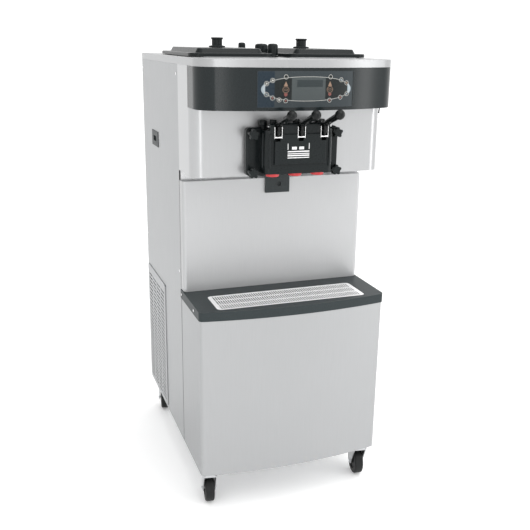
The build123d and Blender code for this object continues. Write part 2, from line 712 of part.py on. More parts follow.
def make_beater(side):
    """Beater with its drive shaft: end ring, rear hub, two straight rails, two helical ribbons."""
    x = side * BARREL_X
    front = HEAD_Y + DOOR_BOSS + BEATER_END_GAP
    rear = BARREL_REAR - BARREL_WALL - BEATER_END_GAP
    hub = BEATER_HUB
    ring = rod_y(BEATER_OUTER, front, front + hub, x, BARREL_Z)
    ring -= rod_y(BEATER_INNER, front - 1, front + hub + 1, x, BARREL_Z)
    body = ring + rod_y(BEATER_OUTER, rear - hub, rear, x, BARREL_Z)
    body += rod_y(SHAFT_RADIUS, rear - 1, GEAR_Y + SHAFT_SOCKET - 2, x, BARREL_Z)
    for turn in (-1, 1):
        z0, z1 = sorted((turn * BEATER_INNER, turn * BEATER_OUTER))
        body += block(x - BEATER_RAIL / 2, x + BEATER_RAIL / 2, front + 1, rear - 1,
                      BARREL_Z + z0, BARREL_Z + z1)
    length = rear - front - hub
    for start in (0, 180):
        thick = BEATER_OUTER - BEATER_INNER - 1
        bar = Pos((BEATER_INNER + BEATER_OUTER) / 2, 0) * Rectangle(thick, BEATER_RAIL)
        face = (Rot(0, 0, start) * bar).faces()[0]
        ribbon = Solid.extrude_linear_with_rotation(face, (0, 0, 0), (0, 0, length), 180)
        body += Pos(x, front + hub / 2, BARREL_Z) * Rot(-90, 0, 0) * ribbon
    return body


def make_scraper_blades(side):
    x = side * BARREL_X
    front = HEAD_Y + DOOR_BOSS + BEATER_END_GAP + 4
    rear = BARREL_REAR - BARREL_WALL - BEATER_END_GAP - 4
    blades = []
    half = BLADE_WIDTH / 2
    reach = math.sqrt((BARREL_BORE - BLADE_CLEARANCE) ** 2 - half ** 2)
    for turn in (-1, 1):
        z0, z1 = sorted((turn * BEATER_OUTER, turn * reach))
        blades.append(block(x - half, x + half, front, rear, BARREL_Z + z0, BARREL_Z + z1))
    return Part() + blades


def make_gearmotors():
    """One inline gear housing and motor behind each cylinder."""
    drives = []
    half = GEAR_SIZE / 2
    for _, side in SIDES:
        x = side * BARREL_X
        gear = block(x - half, x + half, GEAR_Y, GEAR_Y + GEAR_SIZE, BARREL_Z - half, BARREL_Z + half)
        gear = fillet(gear.edges().filter_by(Axis.Y), 12)
        gear -= rod_y(SHAFT_RADIUS + FIT, GEAR_Y - 1, GEAR_Y + SHAFT_SOCKET, x, BARREL_Z)
        motor = rod_y(MOTOR_RADIUS - 4, GEAR_Y + GEAR_SIZE, GEAR_Y + GEAR_SIZE + MOTOR_LENGTH, x, BARREL_Z)
        drives.append(gear + motor)
    return Part() + drives


# ---- dispensing door -----------------------------------------------------------------------
def door_spans():
    z0 = HEAD_Z + DOOR_LIFT
    return z0, z0 + DOOR_HEIGHT


def cheek_end():
    return VALVE_PITCH + HANDLE_WIDTH / 2 + CHEEK_END


def make_dispensing_door():
    z0, z1 = door_spans()
    flange_y = HEAD_Y - DOOR_FLANGE
    door = block(-DOOR_HALF, DOOR_HALF, flange_y, HEAD_Y, z0, z1)
    door = fillet(door.edges().filter_by(Axis.Y), DOOR_CORNER)
    door = fillet(door.edges().group_by(Axis.Y)[0], DOOR_EDGE)
    low = HEAD_Z + SCREW_LOW
    block_z = (low, z1 - DOOR_BLOCK_TRIM)
    core = block(-DOOR_BLOCK_HALF, DOOR_BLOCK_HALF, DOOR_FRONT, flange_y + 1, *block_z)
    core = fillet(core.edges().filter_by(Axis.Z).group_by(Axis.Y)[0], DOOR_BLOCK_CORNER)
    door += core
    half = DOOR_PANEL_HALF
    front = DOOR_FRONT - DOOR_PANEL_STEP
    panel = block(-half, half, front, DOOR_FRONT + 1, low + DOOR_PANEL_FOOT, z1 - DOOR_PANEL_HEAD)
    panel = fillet(panel.edges().group_by(Axis.Y)[0], DOOR_PANEL_EDGE)
    door += panel
    for _, side in VALVES:
        x = side * VALVE_PITCH
        door += rod_z(SPOUT_RADIUS, low - SPOUT_DROP, low + 1, x, VALVE_Y)
    reach = HANDLE_WIDTH / 2 + HANDLE_PLAY
    for near, far in ((reach, VALVE_PITCH - reach), (VALVE_PITCH + reach, cheek_end())):
        cheek = block(near, far, PIVOT_Y - CHEEK_HALF, PIVOT_Y + CHEEK_HALF,
                      z1 - CHEEK_LAP, PIVOT_Z + CHEEK_RISE)
        cheek = fillet(cheek.edges().filter_by(Axis.X).group_by(Axis.Z)[-1], CHEEK_ROUND)
        door += cheek
        door += mirror_x(cheek)
    for _, side in SIDES:
        door += rod_y(BARREL_BORE - GAP, HEAD_Y - 1, HEAD_Y + DOOR_BOSS, side * BARREL_X, BARREL_Z)
    return door - door_cuts(z1, low)


def door_cuts(z1, low):
    """Valve bores, handle slots, mix passages, pin bore, plug bores, stud holes, seal grooves."""
    cuts = []
    for _, side in VALVES:
        x = side * VALVE_PITCH
        half = HANDLE_WIDTH / 2 + HANDLE_PLAY
        cuts.append(rod_z(VALVE_RADIUS + FIT, low - SPOUT_DROP - 1, z1 + 40, x, VALVE_Y))
        cuts.append(block(x - half, x + half, PIVOT_Y - 60, VALVE_Y - VALVE_RADIUS - 4,
                          PIVOT_Z - STOP_DROP - 18, z1 + 40))
        cuts.append(block(x - half, x + half, PIVOT_Y - 20, VALVE_Y + 2, z1 - 6, z1 + 40))
    passage_z = low + PASSAGE_RISE
    inner_y = HEAD_Y + DOOR_BOSS + 1
    for _, side in SIDES:
        x = side * BARREL_X
        cuts.append(rod_y(PASSAGE_RADIUS, VALVE_Y, inner_y, x, passage_z))
        cuts.append(rod_z(PLUG_RADIUS + FIT, BARREL_Z + 5, z1 + 40,
                          side * PLUG_X, HEAD_Y - PLUG_FORWARD))
        cuts.append(rod_y(SEAL_OUTER, HEAD_Y - SEAL_DEPTH, HEAD_Y + 0.01, x, BARREL_Z)
                    - rod_y(SEAL_INNER, HEAD_Y - SEAL_DEPTH - 1, HEAD_Y + 1, x, BARREL_Z))
        for rise in (SCREW_LOW, SCREW_HIGH):
            cuts.append(rod_y(SCREW_STEM + FIT, HEAD_Y - DOOR_FLANGE - 1, HEAD_Y + 1,
                              side * SCREW_X, HEAD_Z + rise))
    cuts.append(rod_x(PASSAGE_RADIUS - 2, -BARREL_X, BARREL_X, HEAD_Y - 14, passage_z))
    cuts.append(rod_y(PASSAGE_RADIUS - 2, VALVE_Y, HEAD_Y - 14, 0, passage_z))
    cuts.append(rod_x(PIN_RADIUS + FIT, -HALF, HALF, PIVOT_Y, PIVOT_Z))
    return cuts


def make_door_seals():
    seals = []
    for _, side in SIDES:
        x = side * BARREL_X
        ring = rod_y(SEAL_OUTER, HEAD_Y - SEAL_DEPTH, HEAD_Y, x, BARREL_Z)
        seals.append(ring - rod_y(SEAL_INNER, HEAD_Y - SEAL_DEPTH - 1, HEAD_Y + 1, x, BARREL_Z))
    return Part() + seals


def make_handscrews():
    """Lobed hand knobs with studs that clamp the door to the head."""
    knob_rear = HEAD_Y - DOOR_FLANGE - SCREW_NECK_LENGTH
    knob_front = knob_rear - SCREW_KNOB_LENGTH
    screws = []
    for _, side in SIDES:
        for rise in (SCREW_LOW, SCREW_HIGH):
            x = side * SCREW_X
            z = HEAD_Z + rise
            knob = rod_y(SCREW_KNOB, knob_front, knob_rear, x, z)
            for i in range(SCREW_LOBES):
                angle = math.radians(360 / SCREW_LOBES * i + 18)
                lobe_x = x + SCREW_KNOB * math.cos(angle)
                lobe_z = z + SCREW_KNOB * math.sin(angle)
                knob += rod_y(SCREW_LOBE, knob_front + 2, knob_rear, lobe_x, lobe_z)
            knob += rod_y(SCREW_NECK, knob_rear - 1, HEAD_Y - DOOR_FLANGE, x, z)
            knob += rod_y(SCREW_STEM, knob_rear - 1, HEAD_Y + SCREW_REACH, x, z)
            screws.append(knob)
    return Part() + screws


def make_pivot_pin():
    reach = cheek_end() + PIN_HEAD
    pin = rod_x(PIN_RADIUS, -reach, reach, PIVOT_Y, PIVOT_Z)
    return pin + rod_x(PIN_RADIUS + 2, reach - PIN_HEAD / 2, reach + PIN_HEAD / 2, PIVOT_Y, PIVOT_Z)


def make_outlet_caps():
    """Star-opening caps pushed over the three spouts."""
    low = HEAD_Z + SCREW_LOW - SPOUT_DROP
    caps = []
    for _, side in VALVES:
        x = side * VALVE_PITCH
        cap = rod_z(CAP_RADIUS, low - 3, low + SPOUT_DROP, x, VALVE_Y)
        cap = fillet(cap.edges().group_by(Axis.Z)[0], 2.5)
        cap -= rod_z(SPOUT_RADIUS, low, low + SPOUT_DROP + 1, x, VALVE_Y)
        star = rod_z(CAP_OPENING - 2, low - 4, low + 1, x, VALVE_Y)
        for i in range(3):
            slot = Pos(x, VALVE_Y, low - 1.5) * Rot(0, 0, 60 * i) * Box(2 * CAP_OPENING, 3, 5)
            star += slot
        caps.append(cap - star)
    return Part() + caps


def make_draw_valve(side):
    """Vertical plunger whose open-fronted slot takes the handle's rear lug."""
    low = HEAD_Z + SCREW_LOW
    x = side * VALVE_PITCH
    valve = rod_z(VALVE_RADIUS, low + VALVE_FOOT - 2, HEAD_Z + VALVE_HEAD, x, VALVE_Y)
    valve = fillet(valve.edges().group_by(Axis.Z)[-1], 2)
    rear = VALVE_Y + LUG_RADIUS + 1.6
    front = VALVE_Y - VALVE_RADIUS - 2
    reach = LUG_RADIUS + 1.4
    outline = Polyline((rear, PIVOT_Z - reach), (rear, PIVOT_Z + reach),
                       (front, PIVOT_Z + reach), (front, PIVOT_Z - reach - 11), close=True)
    slot = extrude(Plane.YZ * make_face(outline.edges()), LUG_WIDTH / 2 + 0.5, both=True)
    return valve - Pos(x, 0, 0) * slot


def make_draw_handle(side):
    """Handle: hub on the pivot pin, rear lug, conical arm with ball end, stop screw in front."""
    x = side * VALVE_PITCH
    half = HANDLE_WIDTH / 2
    handle = rod_x(HANDLE_HUB, x - half, x + half, PIVOT_Y, PIVOT_Z)
    lug_half = LUG_WIDTH / 2
    handle += block(x - lug_half, x + lug_half, PIVOT_Y, VALVE_Y, PIVOT_Z - 3, PIVOT_Z + 3)
    handle += rod_x(LUG_RADIUS, x - lug_half, x + lug_half, VALVE_Y, PIVOT_Z)
    length = math.hypot(BALL_FORWARD, BALL_RISE)
    tilt = math.degrees(math.atan2(BALL_RISE, BALL_FORWARD))
    arm = Pos(0, 0, length / 2) * Cone(HANDLE_ROOT, HANDLE_TIP, length)
    arm += Pos(0, 0, length) * Sphere(BALL_RADIUS)
    handle += Pos(x, PIVOT_Y, PIVOT_Z) * Rot(90 - tilt, 0, 0) * arm
    stop_y = PIVOT_Y - STOP_FORWARD
    handle += rod_z(4, PIVOT_Z - STOP_DROP, PIVOT_Z + 4, x, stop_y)
    handle += rod_z(6, PIVOT_Z - STOP_DROP + 8, PIVOT_Z - STOP_DROP + 14, x, stop_y)
    handle += block(x - 4, x + 4, stop_y, PIVOT_Y, PIVOT_Z - 3, PIVOT_Z + 3)
    return handle - rod_x(PIN_RADIUS + FIT, x - half - 1, x + half + 1, PIVOT_Y, PIVOT_Z)


def make_prime_plug(side):
    _, z1 = door_spans()
    x = side * PLUG_X
    y = HEAD_Y - PLUG_FORWARD
    plug = rod_z(PLUG_RADIUS, BARREL_Z + 20, z1 + 8, x, y)
    knob = rod_z(PLUG_KNOB, z1 + 4, z1 + 22, x, y)
    return plug + fillet(knob.edges(), 4)


# ---- shelf, grid and drip pans -------------------------------------------------------------
def make_drip_shelf():
    half = HALF + SHELF_LAP
    front = BOX_Y - SHELF_LAP
    arc = BOX_ARC + SHELF_LAP
    corner = BOX_CORNER + SHELF_LAP
    shelf = bow_prism(half, SEAM_Y, front, arc, corner, BOX_TOP, SHELF_TOP)
    skirt = SHELF_SKIRT
    under = bow_prism(half - skirt, SEAM_Y + 1, front + skirt, arc - skirt, corner - skirt,
                      BOX_TOP - 1, SHELF_TOP - SHELF_WALL)
    wall = BASIN_WALL
    under -= round_block(-BASIN_HALF - wall, BASIN_HALF + wall, BASIN_FRONT - wall, BASIN_REAR + wall,
                         SHELF_TOP - BASIN_DEPTH - wall, SHELF_TOP, BASIN_CORNER + wall)
    shelf -= under
    ledge = SHELF_TOP - GRID_SHEET - GRID_CLEARANCE
    shelf -= round_block(-BASIN_HALF, BASIN_HALF, BASIN_FRONT, BASIN_REAR, ledge, SHELF_TOP + 1, BASIN_CORNER)
    inset = GRID_LEDGE
    shelf -= round_block(-BASIN_HALF + inset, BASIN_HALF - inset, BASIN_FRONT + inset, BASIN_REAR - inset,
                         SHELF_TOP - BASIN_DEPTH, SHELF_TOP, BASIN_CORNER - inset)
    return shelf


def make_splash_grid():
    c = GRID_CLEARANCE
    z0 = SHELF_TOP - GRID_SHEET - GRID_CLEARANCE
    grid = round_block(-BASIN_HALF + c, BASIN_HALF - c, BASIN_FRONT + c, BASIN_REAR - c,
                       z0, z0 + GRID_SHEET, BASIN_CORNER - c)
    span = BASIN_REAR - BASIN_FRONT - 2 * GRID_BORDER
    row = (span - (GRID_ROWS - 1) * GRID_BAR) / GRID_ROWS
    count = int((2 * BASIN_HALF - 2 * GRID_BORDER - GRID_SLOT) // GRID_PITCH)
    slots = []
    for j in range(GRID_ROWS):
        y0 = BASIN_FRONT + GRID_BORDER + j * (row + GRID_BAR)
        for i in range(count):
            x = (i - (count - 1) / 2) * GRID_PITCH
            slots.append(block(x - GRID_SLOT / 2, x + GRID_SLOT / 2, y0, y0 + row, z0 - 1, z0 + 5))
    return grid - slots


def make_side_drip_pan():
    z = HEAD_Z + SIDE_PAN_Z
    half = SIDE_PAN_HALF - PAN_CLEARANCE
    rise = SIDE_PAN_HEIGHT / 2 - PAN_CLEARANCE
    x0 = -HALF - PAN_WALL
    x1 = -HALF + SIDE_PAN_LENGTH
    lap = SIDE_PAN_LAP
    face = block(x0, -HALF, SIDE_PAN_Y - SIDE_PAN_HALF - lap, SIDE_PAN_Y + SIDE_PAN_HALF + lap,
                 z - SIDE_PAN_HEIGHT / 2 - lap, z + SIDE_PAN_HEIGHT / 2 + lap)
    body = block(-HALF, x1, SIDE_PAN_Y - half, SIDE_PAN_Y + half, z - rise, z + rise)
    wall = PAN_WALL
    body -= block(-HALF + 6 * wall, x1 - wall, SIDE_PAN_Y - half + wall, SIDE_PAN_Y + half - wall,
                  z - rise + wall, z + rise + 1)
    body += face
    return body - block(x0 - 1, x0 + GRIP_DEPTH, SIDE_PAN_Y - half / 2, SIDE_PAN_Y + half / 2,
                        z - SIDE_GRIP_HALF, z + SIDE_GRIP_HALF)


def make_front_drip_pan():
    x0, x1, z0, z1 = front_pan_span()
    face_y = SPLASH_Y - GAP
    face = block(x0, x1, face_y - PAN_FACE, face_y, z0, z1)
    face = fillet(face.edges().group_by(Axis.Y)[0], 2)
    edge = 2 * PAN_WALL + 2 * PAN_CLEARANCE
    top = SPLASH_TOP - 3 * SHEET - PAN_CLEARANCE
    rear = SPLASH_Y + FRONT_PAN_LENGTH
    body = block(x0 + edge, x1 - edge, face_y - 1, rear, z0 + edge, top)
    inner = edge + PAN_WALL
    body -= block(x0 + inner, x1 - inner, SPLASH_Y + 2 * PAN_WALL, rear - PAN_WALL, z0 + inner, top + 1)
    grip_x = FRONT_PAN_X + GRIP_OFFSET
    grip_z = (z0 + z1) / 2
    pan = body + face
    return pan - block(grip_x - GRIP_HALF, grip_x + GRIP_HALF, face_y - PAN_FACE - 1,
                       face_y - PAN_FACE + GRIP_DEPTH, grip_z - GRIP_HALF, grip_z + GRIP_HALF)


# ---- refrigeration and electrics -----------------------------------------------------------
def cooler_span():
    front, rear, low, high = vent_span()
    return front + 2 * LOUVRE_BAR, rear - 2 * ANGLE, low + 2 * ANGLE, high - ANGLE


def make_condenser():
    front, rear, low, high = cooler_span()
    x0 = -HALF + SHEET + CONDENSER_GAP
    rim_width = CONDENSER_RIM
    x1 = x0 + CONDENSER_DEPTH
    core = block(x0 + 3, x1 - 3, front + rim_width, rear - rim_width, low + 4, high - 4)
    rim = block(x0, x1, front, rear, low, high)
    rim -= block(x0 - 1, x1 + 1, front + rim_width, rear - rim_width, low + rim_width, high - rim_width)
    body = core + rim
    pitch = (rear - front - 2 * rim_width) / CONDENSER_FINS
    grooves = []
    for i in range(CONDENSER_FINS):
        y = front + rim_width + pitch * (i + 0.5)
        grooves.append(block(x0 + 2, x0 + 12, y - pitch / 4, y + pitch / 4, low + 10, high - 10))
    return body - grooves


def fan_centre():
    front, rear, low, high = cooler_span()
    return (front + rear) / 2, (low + high) / 2


def make_fan_shroud():
    front, rear, low, high = cooler_span()
    x0 = -HALF + SHEET + CONDENSER_GAP + CONDENSER_DEPTH
    x1 = x0 + SHROUD_DEPTH
    y, z = fan_centre()
    opening = FAN_RADIUS + FAN_TIP_GAP
    body = block(x0, x1, front, rear, low, high)
    body -= block(x0 - 1, x1 - 2, front + 2, rear - 2, low + 2, high - 2)
    body += rod_x(opening + 2, x1 - 2, x1 + FAN_WIDTH + 8, y, z)
    return body - rod_x(opening, x0 - 1, x1 + FAN_WIDTH + 9, y, z)


def make_fan_motor():
    y, z = fan_centre()
    x0 = -HALF + SHEET + CONDENSER_GAP + CONDENSER_DEPTH + SHROUD_DEPTH + FAN_WIDTH + 8
    opening = FAN_RADIUS + FAN_TIP_GAP
    motor = rod_x(FAN_MOTOR_RADIUS, x0 + 4, x0 + FAN_MOTOR_LENGTH, y, z)
    motor += rod_x(FAN_SHAFT, x0 - FAN_WIDTH - 4, x0 + 5, y, z)
    motor += block(x0, x0 + 6, y - opening - 2, y + opening + 2, z - 10, z + 10)
    return motor


def make_condenser_fan():
    y, z = fan_centre()
    x0 = -HALF + SHEET + CONDENSER_GAP + CONDENSER_DEPTH + SHROUD_DEPTH + 4
    fan = rod_x(FAN_HUB, x0, x0 + FAN_WIDTH, 0, 0)
    for i in range(FAN_BLADES):
        blade = block(-1, 1, -38, 38, FAN_HUB - 6, FAN_RADIUS)
        blade = Rot(0, 0, 14) * blade
        fan += Rot(360 / FAN_BLADES * i, 0, 0) * Pos(x0 + FAN_WIDTH / 2, 0, 0) * blade
    fan = fan & rod_x(FAN_RADIUS, x0, x0 + FAN_WIDTH, 0, 0)
    return Pos(0, y, z) * (fan - rod_x(FAN_SHAFT + FIT, x0 - 1, x0 + FAN_WIDTH + 1, 0, 0))


def make_compressor():
    low = FLOOR_GAP + BASE_PLATE
    foot_z = low + COMPRESSOR_FOOT
    can = rod_z(COMPRESSOR_RADIUS, foot_z, low + COMPRESSOR_HEIGHT, COMPRESSOR_X, COMPRESSOR_Y)
    can = fillet(can.edges(), 24)
    core = COMPRESSOR_RADIUS - COMPRESSOR_SHELL
    can -= rod_z(core, low, low + COMPRESSOR_HEIGHT - COMPRESSOR_SHELL, COMPRESSOR_X, COMPRESSOR_Y)
    half = COMPRESSOR_RADIUS
    foot = round_block(COMPRESSOR_X - half, COMPRESSOR_X + half, COMPRESSOR_Y - half,
                       COMPRESSOR_Y + half, foot_z - 3, foot_z + 2, 15)
    body = can + foot
    for dx in (-1, 1):
        for dy in (-1, 1):
            x = COMPRESSOR_X + dx * (half - 18)
            body += rod_z(12, low, foot_z - 2, x, COMPRESSOR_Y + dy * (half - 18))
    return body


def make_electrical_box():
    width, depth, height = BOX_OF_CONTROLS
    wall = CONTROLS_WALL
    x1 = HALF - FRAME_INSET - ANGLE - 5
    y0 = SEAM_Y + CONTROLS_SETBACK
    z0 = SHELF_TOP + CONTROLS_RISE
    box = block(x1 - width, x1, y0, y0 + depth, z0, z0 + height)
    return box - block(x1 - width + wall, x1 + 1, y0 + wall, y0 + depth - wall, z0 + wall, z0 + height - wall)


def make_panel_screws():
    """Dome-headed screws of the shelf skirt, side panels and rear panel."""
    screws = []
    head = PANEL_SCREW_RADIUS
    rise = PANEL_SCREW_HEAD
    inset = PANEL_SCREW_INSET
    mid_z = SHELF_TOP + PANEL_SCREW_LOW
    high_z = RIM_Z - PANEL_SCREW_HIGH
    for _, side in SIDES:
        skirt_x = side * (HALF + SHELF_LAP)
        for setback in SKIRT_SCREWS:
            screws.append(rod_x(head, skirt_x, skirt_x + side * rise, SEAM_Y - setback,
                                (BOX_TOP + SHELF_TOP) / 2))
        for y in (SEAM_Y + inset, REAR_Y - inset):
            for z in (mid_z, high_z):
                screws.append(rod_x(head, side * HALF, side * (HALF + rise), y, z))
        for z in (FLOOR_GAP + PANEL_SCREW_LOW, mid_z, high_z):
            screws.append(rod_y(head, REAR_Y, REAR_Y + rise, side * (HALF - inset), z))
    return Part() + screws


# ---- casters -------------------------------------------------------------------------------
def caster_place(side, y):
    return Pos(side * (HALF - CASTER_X_INSET), y, 0) * Rot(0, 0, -CASTER_YAW)


def make_caster_mounts():
    mounts = []
    half = MOUNT_SIDE / 2
    plate_z = FLOOR_GAP - MOUNT_PLATE
    for _, side, y in CASTERS:
        x = side * (HALF - CASTER_X_INSET)
        mount = round_block(x - half, x + half, y - half, y + half, plate_z, FLOOR_GAP, 8)
        mount += rod_z(STEM_RADIUS, FLOOR_GAP, FLOOR_GAP + STEM_RISE, x, y)
        mount += rod_z(KING_PIN, CROWN_Z - 5, plate_z, x, y)
        mount += rod_z(KING_PIN + 3, CROWN_Z - 7, CROWN_Z - GAP, x, y)
        mounts.append(mount)
    return Part() + mounts


def make_caster_fork(side, y):
    inner = WHEEL_WIDTH / 2 + FORK_GAP
    outer = inner + FORK_PLATE
    crown_top = CROWN_Z + CROWN_THICK
    fork = round_block(-outer, outer, -FORK_REACH - 6, TRAIL + FORK_REACH, CROWN_Z, CROWN_Z + 6, 6)
    fork += rod_z(CROWN_RADIUS, CROWN_Z + 5, crown_top, 0, 0)
    outline = Polyline((-FORK_REACH, CROWN_Z + 1), (TRAIL + FORK_REACH - 2, CROWN_Z + 1),
                       (TRAIL + WHEEL_HUB, WHEEL_RADIUS), (TRAIL - WHEEL_HUB, WHEEL_RADIUS), close=True)
    cheek = extrude(Plane.YZ * make_face(outline.edges()), FORK_PLATE)
    cheek += rod_x(WHEEL_HUB, 0, FORK_PLATE, TRAIL, WHEEL_RADIUS)
    fork += Pos(inner, 0, 0) * cheek
    fork += Pos(-outer, 0, 0) * cheek
    fork += rod_x(AXLE_RADIUS, -outer - 3, outer + 3, TRAIL, WHEEL_RADIUS)
    fork -= rod_z(KING_PIN + FIT, CROWN_Z - 1, crown_top + 1, 0, 0)
    return caster_place(side, y) * fork


def make_caster_wheel(side, y):
    half = WHEEL_WIDTH / 2
    wheel = rod_x(WHEEL_RADIUS, -half, half, TRAIL, WHEEL_RADIUS)
    wheel = fillet(wheel.edges(), WHEEL_EDGE)
    for sign in (-1, 1):
        x0, x1 = sorted((sign * (half - WHEEL_DISH_DEPTH), sign * (half + 1)))
        dish = rod_x(WHEEL_DISH, x0, x1, TRAIL, WHEEL_RADIUS)
        wheel -= dish - rod_x(WHEEL_HUB, x0 - 1, x1 + 1, TRAIL, WHEEL_RADIUS)
    wheel -= rod_x(AXLE_RADIUS + FIT, -half - 1, half + 1, TRAIL, WHEEL_RADIUS)
    return caster_place(side, y) * wheel


# ---- the whole object ----------------------------------------------------------------------
def make_nodes():
    left_panel = make_side_panel(True)
    right_panel = mirror_x(make_side_panel(False))
    nodes = {
        "frame": make_frame(),
        "base_pan": make_base_pan(),
        "left_side_panel": left_panel,
        "right_side_panel": right_panel,
        "rear_panel": make_rear_panel(),
        "front_panel": make_front_panel(),
        "lower_side_panels": make_lower_side_panels(),
        "lower_front_panel": make_lower_front_panel(),
        "head_shroud": make_head_shroud(),
        "head_floor": make_head_floor(),
        "control_bezel": make_control_bezel(),
        "control_panel": make_control_panel(),
        "power_switch": make_power_switch(),
        "top_panel": make_top_panel(),
        "centre_caps": make_centre_caps(),
        "freezing_cylinders": make_freezing_cylinders(),
        "gearmotors": make_gearmotors(),
        "compressor": make_compressor(),
        "condenser": make_condenser(),
        "fan_shroud": make_fan_shroud(),
        "fan_motor": make_fan_motor(),
        "condenser_fan": make_condenser_fan(),
        "electrical_box": make_electrical_box(),
        "dispensing_door": make_dispensing_door(),
        "door_seals": make_door_seals(),
        "handscrews": make_handscrews(),
        "pivot_pin": make_pivot_pin(),
        "outlet_caps": make_outlet_caps(),
        "drip_shelf": make_drip_shelf(),
        "splash_grid": make_splash_grid(),
        "side_drip_pan": make_side_drip_pan(),
        "front_drip_pan": make_front_drip_pan(),
        "panel_screws": make_panel_screws(),
        "caster_mounts": make_caster_mounts(),
    }
    for name, side in SIDES:
        nodes["hopper_" + name] = make_hopper(side)
        nodes["hopper_cover_" + name] = make_hopper_cover(side)
        nodes["cover_knob_" + name] = make_cover_knob(side)
        nodes["beater_" + name] = make_beater(side)
        nodes["scraper_blades_" + name] = make_scraper_blades(side)
        nodes["prime_plug_" + name] = make_prime_plug(side)
    for name, side in VALVES:
        nodes["draw_handle_" + name] = make_draw_handle(side)
        nodes["draw_valve_" + name] = make_draw_valve(side)
    for name, side, y in CASTERS:
        nodes["caster_fork_" + name] = make_caster_fork(side, y)
        nodes["caster_wheel_" + name] = make_caster_wheel(side, y)
    return nodes


def main():
    os.makedirs("parts", exist_ok=True)
    for name, shape in make_nodes().items():
        export_step(shape, "parts/" + name + ".step")


if __name__ == "__main__":
    main()
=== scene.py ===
"""Looks of the soft-serve machine: materials, refined meshes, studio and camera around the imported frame."""

import json
import math

import bmesh
import bpy
from mathutils import Matrix, Vector


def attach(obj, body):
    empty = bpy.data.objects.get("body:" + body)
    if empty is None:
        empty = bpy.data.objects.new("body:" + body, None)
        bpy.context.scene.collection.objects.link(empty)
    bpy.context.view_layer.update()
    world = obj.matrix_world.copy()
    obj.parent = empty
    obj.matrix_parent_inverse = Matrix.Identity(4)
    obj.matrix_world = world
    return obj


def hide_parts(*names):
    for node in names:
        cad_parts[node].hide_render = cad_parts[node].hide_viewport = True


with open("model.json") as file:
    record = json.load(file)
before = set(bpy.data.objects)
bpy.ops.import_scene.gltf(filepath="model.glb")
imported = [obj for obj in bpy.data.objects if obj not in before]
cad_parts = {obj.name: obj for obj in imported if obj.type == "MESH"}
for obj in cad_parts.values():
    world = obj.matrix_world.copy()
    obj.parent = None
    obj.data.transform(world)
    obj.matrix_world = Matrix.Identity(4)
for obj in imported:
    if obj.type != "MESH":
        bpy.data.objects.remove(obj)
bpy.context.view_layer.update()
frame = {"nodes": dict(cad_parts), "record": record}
record = frame["record"]
bodies = record["behaviour"]["bodies"]
body_of_node = {node: body for body, nodes in bodies.items() for node in nodes}
slot_of_node = {entry["node"]: entry["material_slot"] for entry in record["subparts"]}

MM = 0.001
SIDES = (("left", -1), ("right", 1))


# ---------------------------------------------------------------- materials

# Stretch of a noise along x, y and z; a low number draws the grain out along that axis.
EVEN = (1, 1, 1)
NOISE_LOW, NOISE_HIGH = 0.3, 0.7


def link(tree, output, socket):
    tree.links.new(output, socket)


def grain_noise(tree, scale, stretch, detail=4.0):
    """Noise in the object's own space, stretched along an axis for brushed or drawn surfaces."""
    place = tree.nodes.new("ShaderNodeTexCoord")
    mapping = tree.nodes.new("ShaderNodeMapping")
    mapping.inputs["Scale"].default_value = stretch
    noise = tree.nodes.new("ShaderNodeTexNoise")
    noise.inputs["Scale"].default_value = scale
    noise.inputs["Detail"].default_value = detail
    link(tree, place.outputs["Object"], mapping.inputs["Vector"])
    link(tree, mapping.outputs["Vector"], noise.inputs["Vector"])
    return noise.outputs["Fac"]


def remap(tree, value, low, high):
    """The noise's middle range spread over low to high."""
    node = tree.nodes.new("ShaderNodeMapRange")
    node.inputs["From Min"].default_value = NOISE_LOW
    node.inputs["From Max"].default_value = NOISE_HIGH
    node.inputs["To Min"].default_value = low
    node.inputs["To Max"].default_value = high
    link(tree, value, node.inputs["Value"])
    return node.outputs["Result"]


def blend_colour(tree, factor, first, second):
    """Mixes two colours, each given as a tuple or as another node's socket."""
    node = tree.nodes.new("ShaderNodeMix")
    node.data_type = "RGBA"
    link(tree, factor, node.inputs["Factor"])
    for socket, colour in ((node.inputs["A"], first), (node.inputs["B"], second)):
        if isinstance(colour, bpy.types.NodeSocket):
            link(tree, colour, socket)
        else:
            socket.default_value = (*colour, 1.0)
    return node.outputs["Result"]


EDGE_SAMPLES = 4
EDGE_FLAT, EDGE_ROUND = 0.995, 0.93


def edge_mask(tree, radius):
    """One along worn edges, zero on open faces."""
    rounded = tree.nodes.new("ShaderNodeBevel")
    rounded.samples = EDGE_SAMPLES
    rounded.inputs["Radius"].default_value = radius
    plain = tree.nodes.new("ShaderNodeNewGeometry")
    dot = tree.nodes.new("ShaderNodeVectorMath")
    dot.operation = "DOT_PRODUCT"
    link(tree, rounded.outputs["Normal"], dot.inputs[0])
    link(tree, plain.outputs["Normal"], dot.inputs[1])
    spread = tree.nodes.new("ShaderNodeMapRange")
    spread.inputs["From Min"].default_value = EDGE_FLAT
    spread.inputs["From Max"].default_value = EDGE_ROUND
    spread.inputs["To Min"].default_value = 0.0
    spread.inputs["To Max"].default_value = 1.0
    link(tree, dot.outputs["Value"], spread.inputs["Value"])
    return spread.outputs["Result"]


def shade(colour, amount):
    """The colour made lighter or darker, kept between black and white."""
    return tuple(max(0.0, min(1.0, c * amount)) for c in colour)


BLOTCH_SCALE = 9.0
BLOTCH_DETAIL = 2.0
BLOTCH_STRENGTH = 0.25
BLOTCH_DARKER = 1.5
WORN_RADIUS = 1.0


